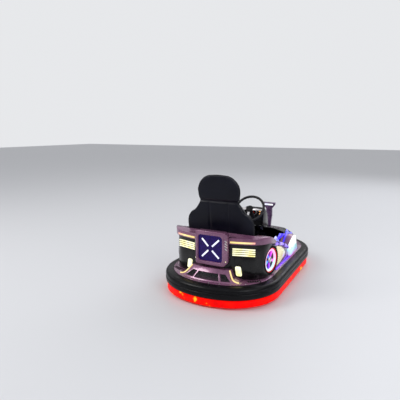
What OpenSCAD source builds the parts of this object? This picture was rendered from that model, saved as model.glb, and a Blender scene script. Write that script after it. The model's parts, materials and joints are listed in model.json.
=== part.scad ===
/* [Overall] */
// Length over the rubber ring
car_length = 2000; // [1850:10:2150]
// Width over the rubber ring
car_width = 1130; // [1080:5:1200]
// Height of the top of the seat
seat_top = 1110; // [1000:5:1150]

/* [Rubber ring] */
// How much larger the radius across each end is than the corner radius
ring_flatness = 250; // [200:5:300]
// Height of the ring's lower face above the floor
ring_bottom = 80; // [70:1:95]
// Height of the ring's section
ring_height = 115; // [100:1:125]
// Depth of the ring's section
ring_depth = 92; // [80:1:96]
// Radius of the ring's outer shoulders
ring_round = 34; // [20:1:40]
// Radius of the groove round the outer face
groove_radius = 9; // [4:1:12]

/* [Glowing skirt] */
// Height of the skirt's lower edge above the floor
skirt_bottom = 22; // [16:1:30]
// Thickness of the skirt's translucent wall
skirt_wall = 8; // [5:0.5:10]
// Distance of the skirt inside the ring's outer face
skirt_inset = 14; // [8:1:20]

/* [Chassis] */
// Height of the chassis plate's lower face
plate_bottom = 92; // [90:1:96]
// Thickness of the chassis plate
plate_thickness = 5; // [4:0.5:8]
// Side of the square chassis tubes
tube_side = 40; // [30:1:44]
// Distance between the centres of the long tubes
rail_spacing = 460; // [420:5:480]
// Radius of the transport bolt holes
transport_hole_r = 6.5; // [5:0.5:8]

/* [Road wheels] */
// Radius of each road wheel
wheel_radius = 100; // [95:1:104]
// Width of each road wheel
wheel_width = 46; // [40:1:50]
// Distance of the rear axle inside the ring's rear face
rear_axle_inset = 440; // [430:5:450]
// Distance of each rear wheel's middle inside the ring's side
rear_wheel_inset = 165; // [162:1:175]
// Distance of the steering axis inside the ring's front face
drive_inset = 390; // [380:5:400]
// Radius of each axle
axle_radius = 10; // [8:0.5:12]

/* [Body] */
// Distance of the body's side inside the ring's side
body_side_inset = 107; // [103:1:112]
// Distance of the body's tail inside the ring's rear face
body_tail_inset = 252; // [246:1:260]
// Distance of the body's nose inside the ring's front face
body_nose_inset = 194; // [186:1:204]
// Thickness of the moulded body panels
panel = 6; // [4:0.5:8]
// Height of the rear deck at its tail
deck_top = 574; // [564:1:582]
// Height of the hood at the driver's feet
hood_top = 455; // [445:1:465]

/* [Lamps] */
// Side of the square rear lamp
cross_lamp_side = 236; // [220:1:246]
// Height of the middle of the square rear lamp
cross_lamp_z = 470; // [464:1:476]
// Length of each light bar of the square lamp
cross_bar_length = 92; // [80:1:98]
// Radius of the glowing ring of each side wheel lamp
ring_lamp_r = 110; // [100:1:114]
// Radius of each side wheel lamp over its tyre
side_tyre_r = 134; // [128:1:138]
// Height of the top of each corner lamp
corner_lamp_top = 404; // [390:1:412]

/* [Nose mast] */
// Height of the mast above the nose block
mast_height = 325; // [300:1:350]
// Width of the mast's head
mast_head_w = 156; // [140:1:170]
// Width of the mast's neck
mast_neck_w = 72; // [60:1:84]

/* [Seat] */
// Gap between the seat's shoulders and the tub
seat_gap = 16; // [10:1:24]
// Width of the seat's head part
seat_head_width = 416; // [390:2:440]
// Lean of the seat back from upright
seat_lean = 7; // [5:0.5:9]
// Height of the top of the seat cushion
cushion_top = 352; // [340:1:360]

/* [Controls] */
// Radius of the steering wheel's rim
rim_radius = 155; // [145:1:160]
// Radius of the steering wheel's grip
grip_radius = 14; // [11:0.5:16]

/* [Hidden] */
$fn = 144;

plum = [0.36, 0.20, 0.34];
gloss_black = [0.05, 0.05, 0.06];
soft_black = [0.08, 0.08, 0.10];
steel = [0.55, 0.56, 0.58];
glow_red = [0.95, 0.05, 0.08];
glow_warm = [0.98, 0.95, 0.70];
glow_white = [0.97, 0.97, 1.0];
glow_blue = [0.20, 0.15, 0.95];
glow_violet = [0.35, 0.25, 0.95];
far = 3000;
fit_gap = 0.3;
ring_top = ring_bottom + ring_height;
ledge_bottom = ring_top + fit_gap;
ledge_thickness = 6;
ledge_top = ledge_bottom + ledge_thickness;
body_base = ledge_top + fit_gap;
plate_top = plate_bottom + plate_thickness;
body_half = car_width / 2 - body_side_inset;
body_rear = car_length / 2 - body_tail_inset;
body_front = car_length / 2 - body_nose_inset;

// Place along the car at a distance ahead of the body's tail.
function from_tail(d) = d - body_rear;

// Plan outline of arcs towards +X: an end arc and a corner arc, which meet along a direction whose
// sine and cosine are short exact numbers, so that neighbouring pieces share their faces.
module half_plan(reach, half_w, flatness, dir, inset) {
    corner_r = half_w - dir[1] * flatness;
    end_x = reach - corner_r - flatness;
    corner_x = end_x + dir[0] * flatness;
    wedge = corner_r + 2 * flatness;
    for (side = [-1, 1])
        translate([corner_x, side * (half_w - corner_r)]) circle(r = corner_r - inset);
    intersection() {
        translate([end_x, 0]) circle(r = corner_r + flatness - inset);
        polygon([[end_x, 0], [end_x + wedge * dir[0], -wedge * dir[1]],
            [end_x + wedge * dir[0], wedge * dir[1]]]);
    }
    translate([0, inset - half_w]) square([corner_x, 2 * (half_w - inset)]);
}

// Plan of the whole car at a distance inside the rubber ring's outer face.
ring_dir = [0.96, 0.28];
ring_corner_r = car_width / 2 - ring_dir[1] * ring_flatness;
ring_end_r = ring_corner_r + ring_flatness;
ring_end_x = car_length / 2 - ring_end_r;
ring_corner_x = ring_end_x + ring_dir[0] * ring_flatness;
ring_corner_y = car_width / 2 - ring_corner_r;
module car_plan(inset = 0) {
    for (end = [0, 1]) mirror([end, 0])
        half_plan(car_length / 2, car_width / 2, ring_flatness, ring_dir, inset);
}

// Sweeps a section round the car. The section's x is 0 at the outer face and negative inside it.
module round_the_car() {
    wide = 2 * ring_end_r;
    for (end = [0, 1]) mirror([end, 0, 0]) {
        intersection() {
            translate([ring_end_x, 0, 0]) rotate_extrude() translate([ring_end_r, 0]) children();
            linear_extrude(ring_top + 10) polygon([[ring_end_x, 0],
                [ring_end_x + wide * ring_dir[0], -wide * ring_dir[1]],
                [ring_end_x + wide * ring_dir[0], wide * ring_dir[1]]]);
        }
        for (side = [0, 1]) mirror([0, side, 0]) intersection() {
            translate([ring_corner_x, ring_corner_y, 0])
                rotate_extrude() translate([ring_corner_r, 0]) children();
            linear_extrude(ring_top + 10) polygon([[ring_corner_x, ring_corner_y],
                [ring_corner_x + wide * ring_dir[0], ring_corner_y + wide * ring_dir[1]],
                [ring_corner_x + wide, ring_corner_y + wide],
                [ring_corner_x, ring_corner_y + wide]]);
        }
    }
    for (side = [0, 1]) mirror([0, side, 0]) translate([ring_corner_x, car_width / 2, 0])
        rotate([90, 0, -90]) linear_extrude(2 * ring_corner_x) mirror([1, 0]) children();
}

// Plan of the moulded body, with a squarer tail and a rounder nose than the rubber ring.
tail_dir = [0.936, 0.352];
tail_flatness = 750;
nose_dir = [0.96, 0.28];
nose_flatness = 100;
nose_corner_r = body_half - nose_dir[1] * nose_flatness;
nose_corner_x = body_front - nose_corner_r - nose_flatness + nose_dir[0] * nose_flatness;
nose_corner_y = body_half - nose_corner_r;
module body_plan(inset = 0) {
    mirror([1, 0]) half_plan(body_rear, body_half, tail_flatness, tail_dir, inset);
    half_plan(body_front, body_half, nose_flatness, nose_dir, inset);
}

// Extrudes a side profile, given as x and z, over the car's width.
module across(half_w) {
    translate([0, half_w, 0]) rotate([90, 0, 0]) linear_extrude(2 * half_w) children();
}

// Extrudes an outline given as y and z along x from one place to another.
module along(from_x, to_x) {
    translate([from_x, 0, 0]) rotate([90, 0, 90]) linear_extrude(to_x - from_x) children();
}

// Everything below a line seen from the side, whose points run forward, and each drop lowers it.
module under(line, drop = 0) {
    polygon(concat([[line[0][0], -far]], lowered(line, drop), [[line[len(line) - 1][0], -far]]));
}
function lowered(line, drop) = [for (p = line) [p[0], p[1] - drop]];

module rounded_rect(w, h, r) {
    square([w - 2 * r, h], center = true);
    square([w, h - 2 * r], center = true);
    for (x = [-1, 1], y = [-1, 1])
        translate([x * (w / 2 - r), y * (h / 2 - r)]) circle(r = r);
}

module both_sides() {
    for (side = [0, 1]) mirror([0, side, 0]) children();
}

// Band of even width along a line of points, mitred at each corner.
function heading(line, i) = (line[i + 1] - line[i]) / norm(line[i + 1] - line[i]);
function miter(line, i) =
    let (last = len(line) - 1,
        a = heading(line, max(i - 1, 0)),
        b = heading(line, min(i, last - 1)),
        n = [-a[1] - b[1], a[0] + b[0]])
    2 * n / (n * n);
module band(line, half) {
    last = len(line) - 1;
    polygon(concat([for (i = [0 : last]) line[i] + half * miter(line, i)],
        [for (i = [last : -1 : 0]) line[i] - half * miter(line, i)]));
}

// Closed outline, listed anticlockwise, grown by a distance all round.
function grown(loop, d) =
    let (n = len(loop))
    [for (i = [0 : n - 1])
        let (a = loop[i] - loop[(i + n - 1) % n],
            b = loop[(i + 1) % n] - loop[i],
            m = [a[1], -a[0]] / norm(a) + [b[1], -b[0]] / norm(b))
        loop[i] + 2 * d * m / (m * m)];

// Rubber ring and skirt
module ring_section() {
    difference() {
        union() {
            translate([-ring_depth, ring_bottom])
                square([ring_depth - ring_round, ring_height]);
            translate([-ring_round, ring_bottom + ring_round])
                square([ring_round, ring_height - 2 * ring_round]);
            for (z = [ring_bottom + ring_round, ring_top - ring_round])
                translate([-ring_round, z]) circle(r = ring_round);
        }
        translate([groove_radius / 3, ring_bottom + ring_height * 0.52])
            circle(r = groove_radius);
    }
}

module bumper_ring() {
    color("black") round_the_car() ring_section();
}

skirt_flange = 64;
module light_skirt() {
    skirt_top = ring_bottom - fit_gap;
    color(glow_red) round_the_car() {
        translate([-skirt_inset - skirt_wall, skirt_bottom])
            square([skirt_wall, skirt_top - skirt_bottom]);
        translate([-skirt_flange, skirt_top - skirt_wall])
            square([skirt_flange - skirt_inset - skirt_wall / 2, skirt_wall]);
    }
}

// Chassis
rear_axle_x = car_length / 2 - rear_axle_inset;
drive_x = car_length / 2 - drive_inset;
rear_track = car_width - 2 * rear_wheel_inset;
rail_rear = rear_axle_x + 80;
rail_front = drive_x - 210;
drive_well_r = 134;
wheel_slot_l = 224;
wheel_slot_w = wheel_width + 36;
transport_x = 300;
transport_y = car_width / 2 - 195;
module chassis_plate() {
    color(steel) translate([0, 0, plate_bottom]) linear_extrude(plate_thickness) difference() {
        car_plan(ring_depth + fit_gap);
        translate([drive_x, 0]) circle(r = drive_well_r);
        for (side = [-1, 1]) translate([-rear_axle_x, side * (rear_track / 2 - 4)])
            square([wheel_slot_l, wheel_slot_w], center = true);
        for (x = [-1, 1], y = [-1, 1]) translate([x * transport_x, y * transport_y])
            circle(r = transport_hole_r);
    }
}

// Where the jacking tube lies ahead of the rear cross tube
jack_tube_ahead = 380;
tube_z = plate_bottom - tube_side;
module chassis_tubes() {
    cross_l = rail_spacing - tube_side;
    color(steel) {
        for (side = [-1, 1])
            translate([-rail_rear, side * rail_spacing / 2 - tube_side / 2, tube_z])
                cube([rail_rear + rail_front, tube_side, tube_side]);
        for (x = [-rail_rear, jack_tube_ahead - rail_rear, rail_front - 100])
            translate([x, -cross_l / 2, tube_z]) cube([tube_side, cross_l, tube_side]);
    }
}

// Rear axles, each a stub on an upright bracket that stands in its wheel's slot in the plate
axle_clear = 0.05;
bracket_t = 12;
bracket_l = 70;
axle_z = wheel_radius;
hub_gap = 5;
axle_inner_y = rear_track / 2 - wheel_width / 2 - hub_gap;
module rear_axle_mounts() {
    arm_y = rail_spacing / 2 + tube_side / 2 + fit_gap;
    color(steel) both_sides() translate([-rear_axle_x, 0, 0]) {
        translate([-bracket_l / 2, axle_inner_y - bracket_t, tube_z])
            cube([bracket_l, bracket_t, axle_z + 26 - tube_z]);
        translate([-bracket_l / 2, arm_y, tube_z]) cube([bracket_l, axle_inner_y - arm_y, 12]);
        translate([0, axle_inner_y - 1, axle_z]) rotate([-90, 0, 0])
            cylinder(r = axle_radius, h = 1 + hub_gap + wheel_width + 4);
    }
}

// A road wheel about its own axis along y: tyre, disc and hub in one solid with a bore
tyre_round = 8;
hub_wall = 18;
disc_t = 16;
module road_wheel(r, w) {
    bore_r = axle_radius + axle_clear;
    tyre_inner = r * 0.72;
    rotate([90, 0, 0]) rotate_extrude() difference() {
        union() {
            translate([bore_r, -w / 2]) square([hub_wall, w]);
            translate([bore_r, -disc_t / 2]) square([tyre_inner - bore_r + 1, disc_t]);
            translate([tyre_inner, -w / 2]) square([r - tyre_round - tyre_inner, w]);
            translate([r - tyre_round - 0.01, tyre_round - w / 2])
                square([tyre_round + 0.01, w - 2 * tyre_round]);
            for (side = [-1, 1]) translate([r - tyre_round, side * (w / 2 - tyre_round)])
                circle(r = tyre_round);
        }
        translate([bore_r - 20, -w]) square([20, 2 * w]);
    }
}

module rear_wheel(side) {
    color(soft_black) translate([-rear_axle_x, side * rear_track / 2, axle_z])
        road_wheel(wheel_radius, wheel_width);
}

// Steered drive unit: fork head, two legs and a fixed axle
fork_leg_t = 12;
fork_leg_w = 56;
fork_head_r = 62;
fork_head_h = 16;
fork_head_z = 2 * wheel_radius + 14;
fork_spindle_r = 20;
fork_spindle_h = 36;
module drive_fork() {
    leg_y = wheel_width / 2 + hub_gap;
    color(steel) translate([drive_x, 0, 0]) {
        translate([0, 0, fork_head_z]) cylinder(r = fork_head_r, h = fork_head_h);
        translate([0, 0, fork_head_z + fork_head_h])
            cylinder(r = fork_spindle_r, h = fork_spindle_h);
        for (side = [-1, 1]) {
            y = side > 0 ? leg_y : -leg_y - fork_leg_t;
            translate([-fork_leg_w / 2, y, axle_z]) cube([fork_leg_w, fork_leg_t,
                fork_head_z - axle_z]);
            translate([0, y, axle_z]) rotate([-90, 0, 0])
                cylinder(r = fork_leg_w / 2, h = fork_leg_t);
        }
        translate([0, -leg_y, axle_z]) rotate([-90, 0, 0])
            cylinder(r = axle_radius, h = 2 * leg_y);
    }
}

// Dome over the drive well, which carries the fork's spindle
housing_r = drive_well_r - 8;
housing_wall = 6;
housing_flange = 34;
housing_ceiling = fork_head_z + fork_head_h + 6;
housing_top = housing_ceiling + 8;
module drive_housing() {
    base = plate_top + fit_gap;
    color(soft_black) translate([drive_x, 0, 0]) rotate_extrude() {
        difference() {
            translate([0, base]) square([housing_r + housing_wall, housing_top - base]);
            translate([-1, plate_top - 1]) square([housing_r + 1, housing_ceiling - plate_top + 1]);
            translate([-1, plate_top]) square([1 + fork_spindle_r + axle_clear, far]);
        }
        translate([housing_r, base]) square([housing_flange, housing_wall]);
        translate([fork_spindle_r + axle_clear, housing_ceiling]) square([16, 22]);
    }
}

module drive_wheel() {
    color(soft_black) translate([drive_x, 0, axle_z]) road_wheel(wheel_radius, wheel_width);
}

// Flat plum flange that lies on the rubber ring and carries the body's walls
ledge_overlap = 14;
module body_ledge() {
    color(plum) translate([0, 0, ledge_bottom]) linear_extrude(ledge_thickness) difference() {
        car_plan(ring_depth - ledge_overlap);
        body_plan(2 * panel);
    }
}

// Lower rear valance with its grille of two leaning struts
valance_r = 690;
valance_x = valance_r + 110 - car_length / 2;
valance_front_x = from_tail(148);
valance_h = 92;
valance_draft = 86;
valance_low = 288;
valance_high = 186;
grille_low = 222;
grille_high = 158;
grille_bottom = 9;
grille_top = 60;
strut_w = 14;
strut_low = 136;
strut_high = 84;
// Face with sloping ends, straight or drawn in near the foot to leave room for the corner lamps
valance_waist = 0.29;
module valance_face(low, high, bottom, top, share = 1 - valance_waist) {
    waist = high + share * (low - high);
    z = bottom + valance_waist * (top - bottom);
    polygon([[-low, bottom], [low, bottom], [waist, z], [high, top], [-high, top], [-waist, z]]);
}
valance_share = 0.24;
module valance_cone(shrink, z, h) {
    translate([valance_x, 0, z]) cylinder(r1 = valance_r - shrink,
        r2 = valance_r - valance_draft - shrink, h = h, $fn = 180);
}
module rear_valance() {
    z0 = body_base;
    rear_x = valance_x - valance_r;
    color(plum) difference() {
        intersection() {
            valance_cone(0, z0, valance_h);
            along(rear_x, valance_front_x)
                valance_face(valance_low, valance_high, z0, z0 + valance_h, valance_share);
        }
        translate([0, 0, z0 - 1]) linear_extrude(far) body_plan(-fit_gap);
        intersection() {
            valance_cone(2 * panel, z0 - 1, valance_h + 1 - panel);
            along(rear_x, valance_front_x) valance_face(valance_low - 14, valance_high - 6,
                z0 - 1, z0 + valance_h - panel, valance_share);
        }
        difference() {
            along(rear_x - 10, rear_x + 110)
                valance_face(grille_low, grille_high, z0 + grille_bottom, z0 + grille_top);
            for (side = [-1, 1]) along(-far, 0)
                polygon([[side * strut_low - strut_w / 2, z0],
                    [side * strut_low + strut_w / 2, z0],
                    [side * strut_high + strut_w / 2, z0 + valance_h],
                    [side * strut_high - strut_w / 2, z0 + valance_h]]);
        }
    }
}

// Side lines of the body as x and z, running forward: the deck's top, the seam below the deck,
// the shoulder that falls from the deck to the front fender, and the fender's crest
fascia_front_x = from_tail(428);
fascia_top = 520;
deck_step = fascia_top + fit_gap;
deck_front_x = from_tail(348);
deck_end_z = 466;
fender_rear_x = drive_x - 494;
cabin_front_x = drive_x - 360;
deck_line = [[-far, deck_top], [from_tail(48), deck_top], [from_tail(128), deck_top + 10],
    [from_tail(188), deck_top + 7], [from_tail(258), deck_top - 20],
    [from_tail(318), deck_top - 50], [deck_front_x, deck_top - 64]];
seam_line = [[-far, deck_step], [from_tail(176), deck_step], [from_tail(308), 490],
    [deck_front_x, deck_end_z]];
// Share of the way along the shoulder, and height
shoulder_shape = [[0, 492], [0.41, 442], [0.68, 386], [0.9, 324], [1, 300]];
shoulder_line = [for (p = shoulder_shape)
    [deck_front_x + p[0] * (fender_rear_x - deck_front_x), p[1]]];
// Distance ahead of the fender's rear, and height
fender_shape = [[0, 330], [54, 385], [116, 412], [166, 408], [224, 376], [304, 340], [444, 300],
    [600, 268]];
fender_line = [for (p = fender_shape) [fender_rear_x + p[0], p[1]]];
// From the deck's front end down the shoulder, as one line with a step at its start
flank_line = concat([for (p = lowered(seam_line, fit_gap)) if (p[0] < deck_front_x) p],
    [[deck_front_x + fit_gap, deck_end_z - fit_gap],
    [deck_front_x + fit_gap, shoulder_line[0][1]]],
    [for (i = [1 : len(shoulder_line) - 1]) shoulder_line[i]]);

// Gloss black wall round the tail, with its lamp recesses and side wheel openings
frame_w = 318;
tail_lamp_w = body_half - 244;
tail_lamp_h = 74;
tail_lamp_gap = 16;
tail_lamp_y = frame_w / 2 + tail_lamp_gap + tail_lamp_w / 2;
tail_lamp_z = 448;
tail_lamp_turn = 16;
marker_w = 54;
marker_h = 88;
marker_y = body_half - 216;
marker_z = 276;
marker_turn = 15;
side_wheel_x = from_tail(286);
side_wheel_y = body_half - 28;
side_wheel_z = body_base + side_tyre_r + 1.4;
side_wheel_turn = 9;
lamp_cut = 60;
module rear_fascia() {
    color(gloss_black) difference() {
        intersection() {
            translate([0, 0, body_base]) linear_extrude(fascia_top - body_base) difference() {
                body_plan();
                body_plan(panel);
            }
            across(far) intersection() {
                under(flank_line);
                translate([-far, 0]) square([far + fascia_front_x, far]);
            }
        }
        both_sides() {
            tail_lamp_place() cube([lamp_cut, tail_lamp_w, tail_lamp_h], center = true);
            marker_place() cube([lamp_cut, marker_w, marker_h], center = true);
            side_wheel_place() rotate([90, 0, 0]) cylinder(r = side_tyre_r + fit_gap, h = 120,
                center = true);
        }
        frame_cut();
    }
}
module tail_lamp_place() {
    translate([from_tail(48), tail_lamp_y, tail_lamp_z]) rotate([0, 0, -tail_lamp_turn])
        children();
}
module marker_place() {
    translate([from_tail(33), marker_y, marker_z]) rotate([0, 0, -marker_turn]) children();
}
module side_wheel_place() {
    translate([side_wheel_x, side_wheel_y, side_wheel_z]) rotate([0, 0, side_wheel_turn])
        children();
}

// Rear deck: a plum cover over the tail that runs forward as two shoulders
deck_lip = 22;
deck_inner = axle_inner_y - bracket_t - 2 - panel;
deck_opening_x = from_tail(136);
module rear_deck() {
    color(plum) difference() {
        intersection() {
            linear_extrude(far) difference() {
                body_plan(-deck_lip);
                translate([deck_opening_x, -deck_inner]) square([far, 2 * deck_inner]);
            }
            across(far) difference() {
                under(deck_line);
                under(seam_line);
            }
        }
        intersection() {
            linear_extrude(far) difference() {
                body_plan(panel - deck_lip);
                translate([deck_opening_x - panel, -deck_inner - panel])
                    square([far, 2 * (deck_inner + panel)]);
            }
            across(far) translate([-panel, 0]) under(deck_line, panel);
        }
        frame_cut();
    }
}

// Square lamp at the tail: frame, sunk pyramid panel and four bars
frame_h = 304;
frame_depth = 74;
frame_round = 44;
frame_flare = 36;
frame_front_w = 274;
frame_x = from_tail(-58);
frame_z = cross_lamp_z + 2;
recess_depth = 30;
module frame_cut() {
    along(frame_x - 1, frame_x + frame_depth + 40) translate([0, frame_z])
        rounded_rect(frame_w + 2 * fit_gap, frame_h + 2 * fit_gap, frame_round + fit_gap);
}
module cross_lamp_frame() {
    back = frame_w / 2;
    front = frame_front_w / 2;
    color(plum) difference() {
        intersection() {
            along(frame_x, frame_x + frame_depth) translate([0, frame_z])
                rounded_rect(frame_w, frame_h, frame_round);
            linear_extrude(far) polygon([[frame_x, -front], [frame_x + frame_flare, -back],
                [frame_x + far, -back], [frame_x + far, back], [frame_x + frame_flare, back],
                [frame_x, front]]);
        }
        along(frame_x - 1, frame_x + recess_depth) translate([0, cross_lamp_z])
            rounded_rect(cross_lamp_side + 4, cross_lamp_side + 4, 32);
        along(frame_x + 20, frame_x + frame_depth + 1) translate([0, cross_lamp_z])
            rounded_rect(cross_lamp_side - 30, cross_lamp_side - 30, 20);
    }
}
panel_base = 8;
panel_peak = 16;
panel_border = 16;
module cross_lamp_panel() {
    s = cross_lamp_side / 2 - panel_border;
    color([0.08, 0.05, 0.45]) translate([frame_x + recess_depth - fit_gap, 0, cross_lamp_z])
        rotate([0, -90, 0]) {
            linear_extrude(panel_base) rounded_rect(cross_lamp_side, cross_lamp_side, 30);
            polyhedron(points = [[-s, -s, panel_base], [s, -s, panel_base], [s, s, panel_base],
                    [-s, s, panel_base], [0, 0, panel_peak]],
                faces = [[0, 1, 2, 3], [1, 0, 4], [2, 1, 4], [3, 2, 4], [0, 3, 4]]);
        }
}
bar_w = 15;
bar_t = 5;
bar_start = 26;
bar_tilt = atan((panel_peak - panel_base) / ((cross_lamp_side / 2 - panel_border) * sqrt(2)));
module cross_lamp_bars() {
    color(glow_white) for (turn = [45, 135, 225, 315])
        translate([frame_x + recess_depth - panel_peak - 2 * fit_gap, 0, cross_lamp_z])
            rotate([turn, 0, 0]) rotate([0, bar_tilt, 0])
                translate([-bar_t, -bar_w / 2, bar_start])
                    cube([bar_t, bar_w, cross_bar_length]);
}

// A lamp box that faces +x and fills its opening, with four light strips on its front
lamp_bar_count = 4;
lamp_depth = 26;
lamp_proud = 3;
lamp_strip = 8;
module strip_lamp(w, h) {
    pitch = h / lamp_bar_count;
    translate([-lamp_depth, fit_gap - w / 2, fit_gap - h / 2])
        cube([lamp_depth + lamp_proud, w - 2 * fit_gap, h - 2 * fit_gap]);
    for (i = [0 : lamp_bar_count - 1])
        translate([lamp_proud - 1, 4 - w / 2, (i + 0.5) * pitch - h / 2 - pitch / 3])
            cube([lamp_strip + 1, w - 8, pitch * 2 / 3]);
}

// Lamps of the tail
module tail_lamps() {
    color(glow_warm) both_sides() tail_lamp_place() mirror([1, 0, 0])
        strip_lamp(tail_lamp_w, tail_lamp_h);
}
strip_z = fascia_top + 12;
module deck_light_strips() {
    color([0.95, 0.80, 0.45]) intersection() {
        translate([0, 0, strip_z]) linear_extrude(16) difference() {
            body_plan(-deck_lip - 8);
            body_plan(-deck_lip - fit_gap);
        }
        both_sides() translate([-far, tail_lamp_y - tail_lamp_w / 2, 0])
            cube([far + valance_front_x, tail_lamp_w - 6, far]);
    }
}
module rear_marker_lamps() {
    color(glow_warm) both_sides() marker_place()
        translate([2, 0, 0]) rotate([0, 90, 0]) linear_extrude(24, center = true)
            rounded_rect(marker_h - 2 * fit_gap, marker_w - 2 * fit_gap, 6);
}

// Side wheel lamp about its own axis, facing +y: tyre, glowing ring and spoked hub
spokes = 5;
spoke_w = 18;
lamp_back = 8;
ring_lamp_w = 30;
ring_lamp_face = 24;
side_tyre_face = 32;
module side_wheel() {
    tyre_w = side_tyre_r - ring_lamp_r;
    rotate([-90, 0, 0]) {
        rotate_extrude() {
            translate([ring_lamp_r - 1, -lamp_back])
                square([tyre_w - tyre_round + 1, lamp_back + side_tyre_face]);
            translate([side_tyre_r - tyre_round - 1, -lamp_back])
                square([tyre_round + 1, lamp_back + side_tyre_face - tyre_round]);
            translate([side_tyre_r - tyre_round, side_tyre_face - tyre_round])
                circle(r = tyre_round);
            translate([ring_lamp_r - ring_lamp_w, -lamp_back])
                square([ring_lamp_w, lamp_back + ring_lamp_face]);
            translate([0, -lamp_back]) square([ring_lamp_r, lamp_back]);
            translate([0, -1]) square([30, ring_lamp_face]);
        }
        for (i = [0 : spokes - 1]) rotate([0, 0, i * 360 / spokes])
            translate([20, -spoke_w / 2, -1])
                cube([ring_lamp_r - ring_lamp_w - 14, spoke_w, ring_lamp_face - 4]);
    }
}
module side_wheels() {
    color(glow_white) both_sides() side_wheel_place() side_wheel();
}

// Side lamp, a warm glowing wedge ahead of the side wheel, and the wall that carries it
side_lamp_t = 10;
side_lamp_proud = 2;
side_wall_t = 18;
wall_inner = body_half - side_wall_t;
// Share of the way from the fascia to the fender, and height
side_lamp_shape = [[0.03, 236], [0.28, 236], [0.6, 262], [0.69, 290], [0.57, 338], [0.37, 384],
    [0.03, 430]];
side_lamp_outline = [for (p = side_lamp_shape)
    [fascia_front_x + p[0] * (fender_rear_x - fascia_front_x), p[1]]];
module side_slab(outline, t) {
    translate([0, body_half + side_lamp_proud, 0]) rotate([90, 0, 0]) linear_extrude(t)
        polygon(outline);
}
module side_lamps() {
    color(glow_warm) both_sides() side_slab(side_lamp_outline, side_lamp_t);
}
module side_walls() {
    color(plum) both_sides() difference() {
        translate([0, body_half, 0]) rotate([90, 0, 0]) linear_extrude(side_wall_t) intersection() {
            under(flank_line);
            translate([fascia_front_x + fit_gap, body_base])
                square([fender_rear_x - fascia_front_x - 2 * fit_gap, far]);
        }
        side_slab(grown(side_lamp_outline, fit_gap), side_lamp_t + fit_gap);
    }
}

// Tub round the driver: two inner walls, the covers out to the side walls, and a wall behind
tub_back_x = deck_opening_x;
tub_floor = plate_top + fit_gap;
tub_outer = deck_inner + panel;
module cabin_tub() {
    rim_line = concat(flank_line, [for (p = lowered(fender_line, 4))
        if (p[0] < cabin_front_x) p], [[cabin_front_x, lookup(cabin_front_x, fender_line) - 4]]);
    color(gloss_black) {
        both_sides() translate([0, tub_outer, 0]) rotate([90, 0, 0]) linear_extrude(panel)
            intersection() {
                under(rim_line, fit_gap);
                translate([tub_back_x, tub_floor]) square([far, far]);
            }
        both_sides() translate([0, wall_inner - fit_gap, 0]) rotate([90, 0, 0])
            linear_extrude(wall_inner - fit_gap - tub_outer + 1) intersection() {
                difference() {
                    under(shoulder_line, fit_gap);
                    under(shoulder_line, fit_gap + panel);
                }
                translate([deck_front_x + fit_gap, 0])
                    square([fender_rear_x - deck_front_x - 2 * fit_gap, far]);
            }
        translate([tub_back_x, -deck_inner - 1, tub_floor])
            cube([panel, 2 * deck_inner + 2, fascia_top - tub_floor]);
    }
}

// Glowing tube that runs along the shoulder from the deck down to the fender
arch_r = 15;
arch_y = body_half + arch_r + fit_gap;
module arch_lights() {
    drop = arch_r + 2;
    end_x = fender_rear_x - 92;
    arch_line = concat([shoulder_line[0] + [arch_r / 2, -drop]],
        [for (i = [1 : len(shoulder_line) - 1]) if (shoulder_line[i][0] < end_x)
            shoulder_line[i] - [0, drop]],
        [[end_x, lookup(end_x, shoulder_line) - drop]]);
    color(glow_violet) both_sides() translate([0, arch_y + arch_r, 0]) rotate([90, 0, 0])
        linear_extrude(2 * arch_r) band(arch_line, arch_r);
}

// Front fender
fender_inner = tub_outer + fit_gap;
module fender_plan(inset) {
    intersection() {
        body_plan(inset);
        translate([fender_rear_x + inset, fender_inner + inset]) square([far, far]);
    }
}
module front_fenders() {
    color(plum) both_sides() difference() {
        intersection() {
            translate([0, 0, body_base]) linear_extrude(far) fender_plan(0);
            across(far) under(fender_line);
        }
        intersection() {
            translate([0, 0, body_base - 1]) linear_extrude(far) fender_plan(panel);
            across(far) under(fender_line, panel);
        }
    }
}

// Corner lamp, a swept fin that stands on the faces of the side wall and the fender. Shape:
// distance ahead of the fender's rear, and share of the fin's height.
corner_lamp_t = 28;
corner_lamp_shape = [[-66, 0.42], [-26, 0.04], [4, 0], [222, 0], [238, 0.2], [172, 0.93],
    [150, 1], [30, 0.82], [-58, 0.6]];
module corner_lamps() {
    base = body_base + 14;
    outline = [for (p = corner_lamp_shape)
        [fender_rear_x + p[0], base + p[1] * (corner_lamp_top - base)]];
    color(glow_white) both_sides() translate([0, body_half + fit_gap + corner_lamp_t, 0])
        rotate([90, 0, 0]) linear_extrude(corner_lamp_t) polygon(outline);
}

// Glowing blades that stand on the shoulder and the fender like swept flames. Columns: distance
// of the foot's two ends and of the tip ahead of the fender's rear, height of the tip, and how
// far inside the body's side the blade stands.
blades = [[-396, -16, -287, 484, 50], [-216, 164, -60, 456, 76], [-66, 344, 99, 468, 50],
    [184, 504, 384, 374, 76]];
blade_t = 10;
module fender_blades() {
    top = concat(shoulder_line, [for (i = [1 : len(fender_line) - 1]) fender_line[i]]);
    color(glow_blue) both_sides() for (b = blades)
        translate([0, body_half - b[4], 0]) rotate([90, 0, 0]) linear_extrude(blade_t)
            difference() {
                polygon([for (p = [b[0], b[1]]) [fender_rear_x + p,
                    lookup(fender_rear_x + p, top) - 6], [fender_rear_x + b[2], b[3]]]);
                under(concat(shoulder_line, fender_line), -fit_gap);
            }
}

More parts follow.
